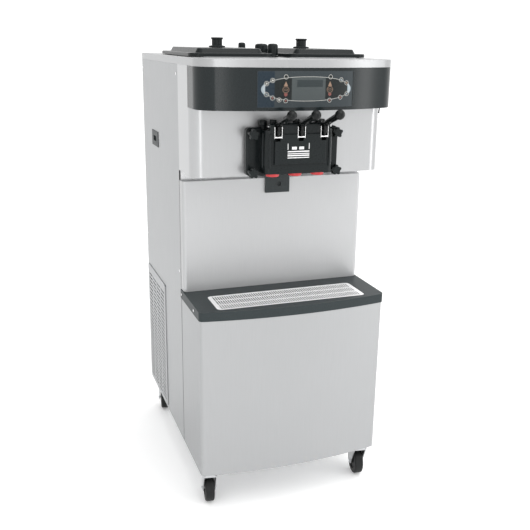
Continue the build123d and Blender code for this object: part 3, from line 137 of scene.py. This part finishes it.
def surface(
    name, colour, roughness, metallic=0.0, grain=(60.0, EVEN), tint=0.08, rough_shift=0.06,
    bump=0.1, bump_depth=0.2, worn=None, specular=0.5,
):
    """A procedural finish: uneven colour and gloss from stretched noise, bump, and worn edges.

    tint is the share by which the colour varies and rough_shift the amount by which the roughness does;
    bump_depth is in millimetres; worn is the colour of rubbed edges, or None for none.
    """
    material = bpy.data.materials.new(name)
    material.use_nodes = True
    tree = material.node_tree
    shader = tree.nodes["Principled BSDF"]
    noise = grain_noise(tree, *grain)
    blotch = grain_noise(tree, BLOTCH_SCALE, EVEN, BLOTCH_DETAIL)
    grained = remap(tree, noise, 0.0, 1.0)
    base = blend_colour(tree, grained, shade(colour, 1 - tint), shade(colour, 1 + tint))
    clouds = remap(tree, blotch, 0.0, BLOTCH_STRENGTH)
    clouded = blend_colour(tree, clouds, base, shade(colour, 1 - BLOTCH_DARKER * tint))
    if worn:
        clouded = blend_colour(tree, edge_mask(tree, WORN_RADIUS * MM), clouded, worn)
    link(tree, clouded, shader.inputs["Base Color"])
    gloss = remap(tree, noise, roughness - rough_shift, roughness + rough_shift)
    link(tree, gloss, shader.inputs["Roughness"])
    relief = tree.nodes.new("ShaderNodeBump")
    relief.inputs["Strength"].default_value = bump
    relief.inputs["Distance"].default_value = bump_depth * MM
    link(tree, noise, relief.inputs["Height"])
    link(tree, relief.outputs["Normal"], shader.inputs["Normal"])
    shader.inputs["Metallic"].default_value = metallic
    shader.inputs["Specular IOR Level"].default_value = specular
    return material


BRUSHED = (10.0, (60, 60, 1.2))
BRUSHED_ACROSS = (10.0, (1.2, 60, 60))
FINE = (900.0, EVEN)
MOULD = (350.0, EVEN)

# One finish for each material slot: name, colour, roughness, metallic, grain, tint, rough_shift, bump,
# bump_depth, as surface() takes them.
FINISHES = {
    "stainless": surface(
        "brushed_stainless", (0.385, 0.39, 0.395), 0.35, 0.85, BRUSHED, 0.03, 0.05, 0.05, 0.04,
    ),
    # The splash grid's steel is made near-white and barely metallic: painted light, lighter than the steel
    # itself.
    "grid_steel": surface("grid_steel_painted_light", (0.93, 0.93, 0.93), 0.30, 0.3, FINE, 0.03, 0.06, 0.05, 0.05),
    "head_trim": surface(
        "head_trim_brushed", (0.56, 0.565, 0.57), 0.26, 1.0, BRUSHED_ACROSS, 0.03, 0.05, 0.06, 0.05,
    ),
    "bezel_black": surface(
        "bezel_satin", (0.006, 0.010, 0.011), 0.20, 0.0, MOULD,
        0.15, 0.04, 0.05, 0.03, worn=(0.03, 0.034, 0.036), specular=0.30,
    ),
    "overlay": surface(
        "overlay_film", (0.026, 0.034, 0.038), 0.24, 0.0, MOULD, 0.1, 0.04, 0.03, 0.02, specular=0.3,
    ),
    "moulded_black": surface(
        "door_moulding", (0.007, 0.010, 0.0105), 0.30, 0.0, MOULD,
        0.2, 0.06, 0.08, 0.05, worn=(0.03, 0.034, 0.036), specular=0.22,
    ),
    "shelf_black": surface(
        "shelf_moulding", (0.026, 0.034, 0.036), 0.45, 0.0, MOULD,
        0.15, 0.07, 0.15, 0.1, worn=(0.06, 0.07, 0.072), specular=0.22,
    ),
    "cap_red": surface(
        "cap_red", (0.60, 0.03, 0.035), 0.35, 0.0, MOULD, 0.12, 0.06, 0.1, 0.06, worn=(0.75, 0.1, 0.09),
    ),
    "seal_rubber": surface("seal_rubber", (0.62, 0.61, 0.58), 0.6, 0.0, FINE, 0.1, 0.08, 0.15, 0.06),
    "blade_white": surface("scraper_white", (0.78, 0.77, 0.73), 0.4, 0.0, FINE, 0.06, 0.06, 0.1, 0.05),
    "bright_steel": surface(
        "bright_steel", (0.74, 0.74, 0.74), 0.14, 1.0, (120.0, (1, 1, 8)), 0.04, 0.05, 0.05, 0.04,
    ),
    "screw_chrome": surface(
        "screw_chrome", (0.82, 0.82, 0.82), 0.12, 1.0, (200.0, EVEN), 0.04, 0.04, 0.04, 0.03,
    ),
    "frame_paint": surface(
        "frame_paint", (0.16, 0.17, 0.18), 0.5, 0.0, MOULD,
        0.12, 0.08, 0.2, 0.12, worn=(0.35, 0.35, 0.35),
    ),
    "zinc_plate": surface("zinc_plate", (0.52, 0.53, 0.54), 0.35, 1.0, (40.0, EVEN), 0.12, 0.1, 0.1, 0.06),
    "motor_cast": surface(
        "motor_casting", (0.11, 0.13, 0.15), 0.5, 0.2, (220.0, EVEN),
        0.15, 0.1, 0.4, 0.25, worn=(0.3, 0.3, 0.3),
    ),
    "finned_aluminium": surface(
        "finned_aluminium", (0.66, 0.67, 0.68), 0.4, 1.0, (80.0, (1, 1, 20)), 0.08, 0.08, 0.2, 0.1,
    ),
    "fan_plastic": surface(
        "fan_plastic", (0.03, 0.03, 0.032), 0.45, 0.0, MOULD,
        0.15, 0.07, 0.15, 0.08, worn=(0.09, 0.09, 0.09),
    ),
    "tyre_rubber": surface(
        "tyre_rubber", (0.010, 0.011, 0.011), 0.5, 0.0, FINE,
        0.25, 0.1, 0.3, 0.12, worn=(0.04, 0.04, 0.04), specular=0.25,
    ),
}

# Finishes of the printed and extra pieces, which belong to a slot but look different from it.
PRINT_PALE = surface("print_pale", (0.50, 0.50, 0.47), 0.4, 0.0, MOULD, 0.06, 0.05, 0.04, 0.02)
PRINT_TAN = surface("print_tan", (0.24, 0.15, 0.10), 0.4, 0.0, MOULD, 0.06, 0.05, 0.04, 0.02)
PRINT_RED = surface("print_red", (0.17, 0.045, 0.035), 0.4, 0.0, MOULD, 0.06, 0.05, 0.04, 0.02)
PRINT_BLUE = surface(
    "print_blue", (0.006, 0.016, 0.026), 0.3, 0.0, MOULD, 0.06, 0.05, 0.04, 0.02, specular=0.3,
)
PRINT_ICE = surface("print_ice", (0.26, 0.31, 0.34), 0.4, 0.0, MOULD, 0.06, 0.05, 0.04, 0.02)
PRINT_DARK = surface(
    "print_dark", (0.006, 0.009, 0.009), 0.3, 0.0, MOULD, 0.1, 0.05, 0.04, 0.02, specular=0.25,
)
DISPLAY_GLASS = surface(
    "display_glass", (0.045, 0.055, 0.056), 0.2, 0.0, MOULD, 0.05, 0.04, 0.02, 0.02, specular=0.4,
)
LABEL_WHITE = surface("label_white", (0.80, 0.80, 0.80), 0.5, 0.0, FINE, 0.04, 0.05, 0.06, 0.03)
HANDLE_GLOSS = surface(
    "handle_gloss", (0.005, 0.006, 0.006), 0.10, 0.0, MOULD,
    0.2, 0.04, 0.02, 0.02, worn=(0.02, 0.02, 0.02), specular=0.22,
)
PAN_CHARCOAL = surface(
    "pan_charcoal", (0.030, 0.036, 0.037), 0.45, 0.0, MOULD,
    0.15, 0.07, 0.12, 0.08, worn=(0.07, 0.075, 0.075), specular=0.22,
)
# Lighter copy of the stainless for the head shroud: painted light.
LIT_HEAD_STEEL = surface("head_steel_painted_light", (0.45, 0.455, 0.46), 0.32, 0.9, BRUSHED, 0.02, 0.03, 0.02, 0.02)
# Darker copy of the stainless for the side and lower side panels: painted shade for the flanks turned away
# from the light.
SHADED_SIDE_STEEL = surface("side_steel_painted_shade", (0.33, 0.337, 0.343), 0.36, 0.85, BRUSHED, 0.03, 0.05, 0.05, 0.04)
# Lighter, less metallic copy of the stainless for the front panel: painted light.
LIT_SPLASH_STEEL = surface("splash_steel_painted_light", (0.46, 0.465, 0.47), 0.42, 0.55, BRUSHED, 0.03, 0.05, 0.05, 0.04)

# Nodes whose look differs from the rest of their slot; the head, side and splash steel are lit and shaded
# copies of the stainless, painted light and shade.
NODE_FINISH = {
    "front_panel": LIT_SPLASH_STEEL,
    "left_side_panel": SHADED_SIDE_STEEL, "right_side_panel": SHADED_SIDE_STEEL, "lower_side_panels": SHADED_SIDE_STEEL,
    "draw_handle_left": HANDLE_GLOSS, "draw_handle_centre": HANDLE_GLOSS, "draw_handle_right": HANDLE_GLOSS,
    "front_drip_pan": PAN_CHARCOAL, "side_drip_pan": PAN_CHARCOAL, "head_shroud": LIT_HEAD_STEEL,
}


# ---------------------------------------------------------------- mesh helpers

SMOOTH_ANGLE = 32.0
BEVEL_ANGLE = 30.0
BEVEL_SEGMENTS = 2
SHADING_WEIGHT = 80
SKIN_BEVEL = 0.4
WELD_DISTANCE = 0.01
FLAT_ANGLE = 0.2


def finish_piece(mesh_data, name, body, slot, nodes=(), material=None):
    """Puts a bmesh into the scene as a named piece riding on a body."""
    mesh = bpy.data.meshes.new(name)
    bmesh.ops.recalc_face_normals(mesh_data, faces=mesh_data.faces)
    mesh_data.to_mesh(mesh)
    mesh_data.free()
    for face in mesh.polygons:
        face.use_smooth = True
    mesh.set_sharp_from_angle(angle=math.radians(SMOOTH_ANGLE))
    piece = bpy.data.objects.new(name, mesh)
    bpy.context.scene.collection.objects.link(piece)
    mesh.materials.append(material or FINISHES[slot])
    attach(piece, body)
    if nodes:
        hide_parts(*nodes)
    return piece


def soften_edges(piece, width):
    """A bevel on the piece's hard edges, with shading that keeps its large faces flat."""
    bevel = piece.modifiers.new("soft_edges", "BEVEL")
    bevel.width = width * MM
    bevel.segments = BEVEL_SEGMENTS
    bevel.limit_method = "ANGLE"
    bevel.angle_limit = math.radians(BEVEL_ANGLE)
    bevel.use_clamp_overlap = True
    even = piece.modifiers.new("even_shading", "WEIGHTED_NORMAL")
    even.mode = "FACE_AREA"
    even.weight = SHADING_WEIGHT
    even.keep_sharp = True
    return piece


def refine(node, bevel):
    """A copy of a CAD node as one welded mesh with softened edges."""
    source = frame["nodes"][node].data
    work = bmesh.new()
    work.from_mesh(source)
    bmesh.ops.remove_doubles(work, verts=work.verts, dist=WELD_DISTANCE * MM)
    bmesh.ops.dissolve_limit(
        work, angle_limit=math.radians(FLAT_ANGLE), verts=work.verts, edges=work.edges)
    piece = finish_piece(
        work, node + "_skin", body_of_node[node], slot_of_node[node], (node,), NODE_FINISH.get(node))
    return soften_edges(piece, bevel)


for node_name in sorted(frame["nodes"]):
    refine(node_name, SKIN_BEVEL)


# ---------------------------------------------------------------- printed control overlay

# Millimetres in the machine's own frame, from here to the studio.
ARC_RADIUS = 870.0
ARC_CENTRE_Y = 460.0
OVERLAY_FACE = 1.5
OVERLAY_MID_Z = 1415.5

FILM = 0.35
PRINT_ROOT = 0.2
PRINT_INSET = 0.3
PATCH_SHOULDER = 0.6
LINE_SHOULDER = 0.4


def on_overlay(x, z, proud):
    """A point on the bowed face of the overlay, proud of it by so many millimetres."""
    y = ARC_CENTRE_Y - math.sqrt(ARC_RADIUS ** 2 - x ** 2) - OVERLAY_FACE - proud
    return Vector((x, y, z)) * MM


def film_patch(name, x_low, x_high, z_low, z_high, material, proud=FILM, steps=24):
    """A thin printed patch between two heights given as functions of x, following the bow."""
    work = bmesh.new()
    rows = []
    for step in range(steps + 1):
        x = x_low + (x_high - x_low) * step / steps
        low, high = z_low(x), z_high(x)
        inset = min(PRINT_INSET, (high - low) / 4)
        section = (
            (low, -PRINT_ROOT), (low, proud * PATCH_SHOULDER), (low + inset, proud),
            (high - inset, proud), (high, proud * PATCH_SHOULDER), (high, -PRINT_ROOT))
        rows.append([work.verts.new(on_overlay(x, z, lift)) for z, lift in section])
    for first, second in zip(rows, rows[1:]):
        for index in range(6):
            after = (index + 1) % 6
            work.faces.new((first[index], second[index], second[after], first[after]))
    work.faces.new(rows[0])
    work.faces.new(list(reversed(rows[-1])))
    return finish_piece(work, name, "cabinet", "overlay", (), material)


def level(height):
    """The same height at every x."""
    return lambda x: height


def about(middle, half):
    """The lower and upper height of a shape that reaches half(x) each way from its middle."""
    return (lambda x: middle - half(x)), (lambda x: middle + half(x))


def raised_line(work, path, width, height, base=0.0):
    """A closed half-round line along (x, z) points on the overlay."""
    count = len(path)
    section = (
        (-width / 2, base - PRINT_ROOT), (-width / 2, base + height * LINE_SHOULDER),
        (-width / 4, base + height), (width / 4, base + height),
        (width / 2, base + height * LINE_SHOULDER), (width / 2, base - PRINT_ROOT))
    rows = []
    for index, (x, z) in enumerate(path):
        before = path[index - 1]
        after = path[(index + 1) % count]
        run = Vector((after[0] - before[0], after[1] - before[1])).normalized()
        side = Vector((-run.y, run.x))
        rows.append([
            work.verts.new(on_overlay(x + side.x * across, z + side.y * across, lift))
            for across, lift in section])
    for index, first in enumerate(rows):
        second = rows[(index + 1) % count]
        for corner in range(6):
            after = (corner + 1) % 6
            work.faces.new((first[corner], first[after], second[after], second[corner]))


OVAL_CENTRE_X = 1.0


def oval(half_x, half_z, centre_x=OVAL_CENTRE_X, centre_z=OVERLAY_MID_Z, power=1.0, count=120):
    """Points round an oval; a power under one squares it up."""
    points = []
    for step in range(count):
        angle = math.tau * step / count
        across, up = math.cos(angle), math.sin(angle)
        points.append((
            centre_x + half_x * math.copysign(abs(across) ** power, across),
            centre_z + half_z * math.copysign(abs(up) ** power, up)))
    return points


DISC_REACH = 0.99
DISC_STEPS = 14
DISC_TIP = 0.02


def disc_patch(name, x, z, radius, material, proud):
    def half(at):
        return math.sqrt(max(DISC_TIP, radius ** 2 - (at - x) ** 2))

    reach = radius * DISC_REACH
    film_patch(name, x - reach, x + reach, *about(z, half), material, proud, DISC_STEPS)


KEYS = (
    ("left_a", -128, 1431, PRINT_PALE),
    ("left_b", -110, 1440, PRINT_PALE),
    ("left_c", -70, 1450, PRINT_DARK),
    ("left_d", -128, 1400, PRINT_ICE),
    ("left_e", -110, 1390, PRINT_RED),
    ("left_f", -90, 1384.5, PRINT_PALE),
    ("left_g", -70, 1382, PRINT_RED),
    ("right_a", 72, 1450, PRINT_DARK),
    ("right_b", 109, 1441, PRINT_ICE),
    ("right_c", 128, 1432, PRINT_TAN),
    ("right_d", 130, 1400, PRINT_ICE),
    ("right_e", 108, 1390, PRINT_RED),
    ("right_f", 71, 1382, PRINT_RED),
)
KEY_RADIUS = 6.2
KEY_DISC_SHARE = 0.95
KEY_MARK_SHARE = 0.42
KEY_LINE = (1.1, 0.35)
OVAL_HALF = (137, 35)
OVAL_POWER = 0.86
OVAL_LINE = (1.0, 0.3)


def make_key_ring():
    """Ring outlines of the touch keys, joined by the long oval line."""
    lines = bmesh.new()
    raised_line(lines, oval(*OVAL_HALF, power=OVAL_POWER), *OVAL_LINE, FILM * 0.5)
    for _, x, z, _ in KEYS:
        raised_line(lines, oval(KEY_RADIUS, KEY_RADIUS, x, z, count=28), *KEY_LINE, FILM)
    finish_piece(lines, "overlay_key_rings", "cabinet", "overlay", (), PRINT_PALE)
    for name, x, z, material in KEYS:
        disc_patch("overlay_key_" + name, x, z, KEY_RADIUS * KEY_DISC_SHARE, PRINT_DARK, FILM * 1.2)
        disc_patch("overlay_mark_" + name, x, z, KEY_RADIUS * KEY_MARK_SHARE, material, FILM * 1.8)


COLUMNS = (("left", -70), ("right", 71))
COLUMN_RING_Z = OVERLAY_MID_Z - 2
SWIRL_HALF, SWIRL_FOOT, SWIRL_TIP, SWIRL_SLOPE = 6, 8, 22, 2.1
CONE_HALF, CONE_TIP, CONE_TOP, CONE_SLOPE = 5, 22, 12, 0.8


def make_product_column(name, x):
    """A cone emblem: a round key with a pointed swirl above it and a tapered cone below it."""
    def swirl_top(at):
        return OVERLAY_MID_Z + SWIRL_TIP - SWIRL_SLOPE * abs(at - x)

    def cone_foot(at):
        return OVERLAY_MID_Z - CONE_TIP + CONE_SLOPE * abs(at - x)

    lines = bmesh.new()
    raised_line(lines, oval(9.5, 8.5, x, COLUMN_RING_Z, count=36), 1.2, 0.4, FILM)
    raised_line(lines, oval(6.0, 2.2, x, COLUMN_RING_Z, count=28), 0.9, 0.4, FILM)
    finish_piece(lines, "overlay_product_rings_" + name, "cabinet", "overlay", (), PRINT_TAN)
    film_patch(
        "overlay_swirl_" + name, x - SWIRL_HALF, x + SWIRL_HALF,
        level(OVERLAY_MID_Z + SWIRL_FOOT), swirl_top, PRINT_TAN, steps=12)
    film_patch(
        "overlay_cone_" + name, x - CONE_HALF, x + CONE_HALF,
        cone_foot, level(OVERLAY_MID_Z - CONE_TOP), PRINT_RED, steps=12)


CRESCENT_WIDTH, CRESCENT_HEIGHT = 144.0, 42.0
CRESCENT_INNER, CRESCENT_OUTER = 132.0, 143.5
CRESCENT_TIP = 0.6


def make_crescent(name, side):
    """The pale crescent filling one end of the oval."""
    def half(x):
        share = math.sqrt(max(0.0, 1.0 - (x / CRESCENT_WIDTH) ** 2))
        return max(CRESCENT_TIP, CRESCENT_HEIGHT * share)

    low_x, high_x = sorted((side * CRESCENT_INNER, side * CRESCENT_OUTER))
    film_patch(
        "overlay_crescent_" + name, low_x, high_x, *about(OVERLAY_MID_Z - 1, half), PRINT_ICE, FILM * 0.8)


PRINT_FOOT_Z, PRINT_HEAD_Z = 1363.0, 1465.8
LEFT_BAND_X = (-154, -104)
INSIDE_X = (-130, 132)
INSIDE_REACH, INSIDE_HALF, INSIDE_POWER = 136.0, 34.0, 0.43
FIELD_X = (-52, 56)
FIELD_MID_X, FIELD_REACH, FIELD_HALF, FIELD_BULGE = 2, 62.0, 30.0, 6.0
WINDOW_X = (-36, 47)
WINDOW_Z = (1421.0, 1442.0)
END_LINE_X = (151.0, 153.6)
END_LINE_Z = (1363.5, 1465.5)


def make_overlay_print():
    """Every printed shape on the control film, lowest layer first."""
    def inside_half(x):
        share = max(0.0, 1 - ((x - OVAL_CENTRE_X) / INSIDE_REACH) ** 2)
        return max(1.0, INSIDE_HALF * share ** INSIDE_POWER)

    def field_half(x):
        return FIELD_HALF + FIELD_BULGE * math.sqrt(max(0.0, 1 - ((x - FIELD_MID_X) / FIELD_REACH) ** 2))

    film_patch(
        "overlay_left_band", *LEFT_BAND_X, level(PRINT_FOOT_Z), level(PRINT_HEAD_Z), PRINT_BLUE, FILM * 0.4)
    film_patch(
        "overlay_inside", *INSIDE_X, *about(OVERLAY_MID_Z, inside_half), PRINT_DARK, FILM * 0.3, 60)
    film_patch(
        "overlay_field", *FIELD_X, *about(OVERLAY_MID_Z, field_half), DISPLAY_GLASS, FILM * 0.4)
    film_patch(
        "overlay_window", *WINDOW_X, level(WINDOW_Z[0]), level(WINDOW_Z[1]),
        FINISHES["shelf_black"], FILM * 0.9)
    film_patch(
        "overlay_end_line", *END_LINE_X, level(END_LINE_Z[0]), level(END_LINE_Z[1]),
        PRINT_DARK, FILM * 2.2, 4)
    make_key_ring()
    for name, x in COLUMNS:
        make_product_column(name, x)
    for name, side in SIDES:
        make_crescent(name, side)


# ---------------------------------------------------------------- dispensing door

DOOR_BLOCK_Y = -360.0
DOOR_PANEL_Y = -368.0


def soft_slab(name, x_range, y_range, z_range, slot, material=None, round_by=0.3, segments=3):
    """A small slab on the cabinet with rounded edges cut into its own mesh."""
    work = bmesh.new()
    bmesh.ops.create_cube(work, size=1.0)
    low, high = (Vector(corner) * MM for corner in zip(x_range, y_range, z_range))
    for vertex in work.verts:
        for axis in range(3):
            vertex.co[axis] = high[axis] if vertex.co[axis] > 0 else low[axis]
    bmesh.ops.bevel(
        work, geom=work.edges[:], offset=round_by * MM, segments=segments, profile=0.5, affect="EDGES")
    return finish_piece(work, name, "cabinet", slot, (), material)


def turned_pin(name, start, profile, slot, segments=32):
    """A pin along x: (distance, radius) points spun about the line through its start."""
    work = bmesh.new()
    origin = Vector(start)
    rings = []
    for distance, radius in profile:
        centre = origin + Vector((distance, 0, 0))
        if radius == 0:
            rings.append([work.verts.new(centre * MM)])
            continue
        ring = []
        for step in range(segments):
            angle = math.tau * step / segments
            spoke = Vector((0, math.cos(angle), math.sin(angle))) * radius
            ring.append(work.verts.new((centre + spoke) * MM))
        rings.append(ring)
    for low, high in zip(rings, rings[1:]):
        for step in range(segments):
            after = (step + 1) % segments
            corners = (
                low[step % len(low)], low[after % len(low)],
                high[after % len(high)], high[step % len(high)])
            work.faces.new(list(dict.fromkeys(corners)))
    return finish_piece(work, name, "cabinet", slot)


LABEL_X = (-44, 28)
LABEL_Y = (DOOR_PANEL_Y - 0.4, DOOR_PANEL_Y + 0.5)
LABEL_BARS = 4
LABEL_FOOT_Z = 1205.0
LABEL_PITCH = 6.2
LABEL_BAR_HEIGHTS = (2.6, 3.6)
LABEL_TICK_FOOT_Z = 1231.5
LABEL_TICKS = ((-44, -42, 1250), (-30, -14, 1240), (-6, 10, 1240), (26, 28, 1250))


def make_door_label():
    """A plain striped label on the raised panel, without any words."""
    for index in range(LABEL_BARS):
        foot = LABEL_FOOT_Z + LABEL_PITCH * index
        head = foot + LABEL_BAR_HEIGHTS[index % 2]
        soft_slab("door_label_bar_%d" % index, LABEL_X, LABEL_Y, (foot, head), "moulded_black", LABEL_WHITE)
    for index, (low, high, head) in enumerate(LABEL_TICKS):
        soft_slab(
            "door_label_tick_%d" % index, (low, high), LABEL_Y, (LABEL_TICK_FOOT_Z, head),
            "moulded_black", LABEL_WHITE)


FRONT_RIB_X = (95.0, 103.0)
FRONT_RIB_Y = (DOOR_BLOCK_Y - 4.0, DOOR_BLOCK_Y + 3.0)
FRONT_RIB_Z = (1174, 1281)
FRONT_RIB_ROUND = 3.4
FLANK_RIB_X = (109.0, 116.0)
FLANK_RIB_Y = (-338.0, -328.0)
FLANK_RIB_Z = (1172, 1281)
FLANK_RIB_ROUND = 3.0
RIB_SEGMENTS = 5


def on_side(side, x_range):
    """The x range mirrored to the given side, low end first."""
    return sorted((side * x_range[0], side * x_range[1]))


def make_door_ribs():
    """Upright rounded ribs beside the raised panel and on the flanks of the door block."""
    for name, side in SIDES:
        soft_slab(
            "door_rib_front_" + name, on_side(side, FRONT_RIB_X), FRONT_RIB_Y, FRONT_RIB_Z,
            "moulded_black", None, FRONT_RIB_ROUND, RIB_SEGMENTS)
        soft_slab(
            "door_rib_flank_" + name, on_side(side, FLANK_RIB_X), FLANK_RIB_Y, FLANK_RIB_Z,
            "moulded_black", None, FLANK_RIB_ROUND, RIB_SEGMENTS)


HANDLES = (("left", -76.0), ("centre", 0.0), ("right", 76.0))
CLIP_NEAR, CLIP_FAR = 10.8, 12.8
CLIP_Y = (DOOR_PANEL_Y - 3.5, DOOR_BLOCK_Y + 1.0)
CLIP_Z = (1266, 1302)
CLIP_ROUND = 0.8
PIN_START_X, PIN_Y, PIN_Z = -12.5, DOOR_PANEL_Y - 1.2, 1270.0
PIN_PROFILE = ((0, 0), (0, 2.2), (0.6, 2.8), (24.4, 2.8), (25, 2.2), (25, 0))


def make_handle_clips():
    """Bright clips and a cross pin beside the root of each draw handle."""
    for name, centre in HANDLES:
        for side_name, side in (("a", -1), ("b", 1)):
            reach = sorted((centre + side * CLIP_NEAR, centre + side * CLIP_FAR))
            soft_slab(
                "handle_clip_%s_%s" % (name, side_name), reach, CLIP_Y, CLIP_Z,
                "screw_chrome", None, CLIP_ROUND)
        turned_pin(
            "handle_clip_pin_" + name, (centre + PIN_START_X, PIN_Y, PIN_Z), PIN_PROFILE, "screw_chrome")


# ---------------------------------------------------------------- cabinet seams

SEAM_X = (321.5, 323.5)
SEAM_Y = (-106.4, -104.4)
UPPER_SEAM_Z = (728, 1138)
LOWER_SEAM_Z = (142, 694)


def make_seam_shadow_strips():
    """Thin dark strips in the upright seams of the cabinet's flanks: painted shade for the shadowed gap
    between the panels.
    """
    rubber = FINISHES["tyre_rubber"]
    for name, side in SIDES:
        reach = on_side(side, SEAM_X)
        # Dark rubber-finished strips as painted shade in the seam gaps.
        soft_slab("seam_shadow_upper_" + name, reach, SEAM_Y, UPPER_SEAM_Z, "stainless", rubber)
        soft_slab("seam_shadow_lower_" + name, reach, SEAM_Y, LOWER_SEAM_Z, "stainless", rubber)


make_overlay_print()
make_door_label()
make_door_ribs()
make_handle_clips()
make_seam_shadow_strips()


# ---------------------------------------------------------------- studio

CAMERA_PLACE = Vector((-0.8798, -2.5015, 1.5524))
CAMERA_YAW = math.radians(19.786)
CAMERA_PITCH = math.radians(16.768)
CAMERA_ROLL = math.radians(0.851)
CAMERA_LENS = 50.73
SENSOR_WIDTH = 36.0

WORLD_LIGHT = 1.3
WORLD_SHADE = 0.3
SHADE_TOWARD = (-0.93, 0.34, 0.10)
SHADE_SPREAD = (0.45, 0.92)
SHADE_HEIGHT = (0.12, 0.32)

FLOOR_GLOW = 0.16
FLOOR_HALF = 30.0


def make_camera():
    """The camera, placed and turned by yaw, pitch and roll."""
    data = bpy.data.cameras.new("camera")
    data.lens = CAMERA_LENS
    data.sensor_width = SENSOR_WIDTH
    camera = bpy.data.objects.new("camera", data)
    bpy.context.scene.collection.objects.link(camera)
    forward = Vector((
        math.sin(CAMERA_YAW) * math.cos(CAMERA_PITCH),
        math.cos(CAMERA_YAW) * math.cos(CAMERA_PITCH),
        -math.sin(CAMERA_PITCH),
    ))
    sideways = Vector((math.cos(CAMERA_YAW), -math.sin(CAMERA_YAW), 0.0))
    upright = sideways.cross(forward)
    right = sideways * math.cos(CAMERA_ROLL) + upright * math.sin(CAMERA_ROLL)
    up = upright * math.cos(CAMERA_ROLL) - sideways * math.sin(CAMERA_ROLL)
    turn = Matrix((right, up, -forward)).transposed().to_4x4()
    camera.matrix_world = Matrix.Translation(CAMERA_PLACE) @ turn
    bpy.context.scene.camera = camera


def soft_light(name, place, target, width, height, power):
    """A rectangular area light, sizes in metres and power in watts, aimed at a target."""
    data = bpy.data.lights.new(name, "AREA")
    data.shape = "RECTANGLE"
    data.size = width
    data.size_y = height
    data.energy = power
    light = bpy.data.objects.new(name, data)
    bpy.context.scene.collection.objects.link(light)
    light.location = place
    light.rotation_mode = "QUATERNION"
    light.rotation_quaternion = (Vector(target) - Vector(place)).to_track_quat("-Z", "Y")


def smooth_ramp(tree, value, given, wanted):
    """The value eased from the given range to the wanted one."""
    node = tree.nodes.new("ShaderNodeMapRange")
    node.interpolation_type = "SMOOTHSTEP"
    node.inputs["From Min"].default_value, node.inputs["From Max"].default_value = given
    node.inputs["To Min"].default_value, node.inputs["To Max"].default_value = wanted
    link(tree, value, node.inputs["Value"])
    return node.outputs["Result"]


def make_world():
    """White all round, with one darker quarter high behind the left side for the steel to mirror."""
    world = bpy.data.worlds.new("studio")
    bpy.context.scene.world = world
    world.use_nodes = True
    tree = world.node_tree
    background = tree.nodes["Background"]
    place = tree.nodes.new("ShaderNodeTexCoord")
    toward = tree.nodes.new("ShaderNodeVectorMath")
    toward.operation = "DOT_PRODUCT"
    toward.inputs[1].default_value = Vector(SHADE_TOWARD).normalized()
    link(tree, place.outputs["Generated"], toward.inputs[0])
    quarter = smooth_ramp(tree, toward.outputs["Value"], SHADE_SPREAD, (0.0, 1.0))
    heights = tree.nodes.new("ShaderNodeSeparateXYZ")
    link(tree, place.outputs["Generated"], heights.inputs[0])
    raised = smooth_ramp(tree, heights.outputs["Z"], SHADE_HEIGHT, (0.0, 1.0))
    dark = tree.nodes.new("ShaderNodeMath")
    dark.operation = "MULTIPLY"
    link(tree, quarter, dark.inputs[0])
    link(tree, raised, dark.inputs[1])
    strength = smooth_ramp(tree, dark.outputs["Value"], (0.0, 1.0), (WORLD_LIGHT, WORLD_SHADE))
    background.inputs["Color"].default_value = (1.0, 1.0, 1.0, 1.0)
    link(tree, strength, background.inputs["Strength"])


def make_floor():
    """A wide pale floor with a slight glow that keeps shadows faint."""
    work = bmesh.new()
    bmesh.ops.create_grid(work, x_segments=8, y_segments=8, size=FLOOR_HALF)
    mesh = bpy.data.meshes.new("studio_floor")
    work.to_mesh(mesh)
    work.free()
    floor = bpy.data.objects.new("studio_floor", mesh)
    bpy.context.scene.collection.objects.link(floor)
    finish = surface("floor_white", (0.97, 0.97, 0.97), 0.7, 0.0, (3.0, EVEN), 0.004, 0.03, 0.02, 0.1)
    shader = finish.node_tree.nodes["Principled BSDF"]
    shader.inputs["Emission Color"].default_value = (1.0, 1.0, 1.0, 1.0)
    shader.inputs["Emission Strength"].default_value = FLOOR_GLOW
    mesh.materials.append(finish)


make_camera()
make_world()
make_floor()
soft_light("left_strip", (-1.35, -3.45, 1.35), (0, -0.3, 1.3), 0.40, 2.4, 9)
soft_light("right_strip", (2.55, -2.15, 1.45), (0, -0.3, 1.3), 0.50, 2.4, 14)
soft_light("overhead", (0.4, -1.6, 3.4), (0, 0, 0.9), 2.2, 2.2, 24)
bpy.context.scene.view_settings.view_transform = "Standard"
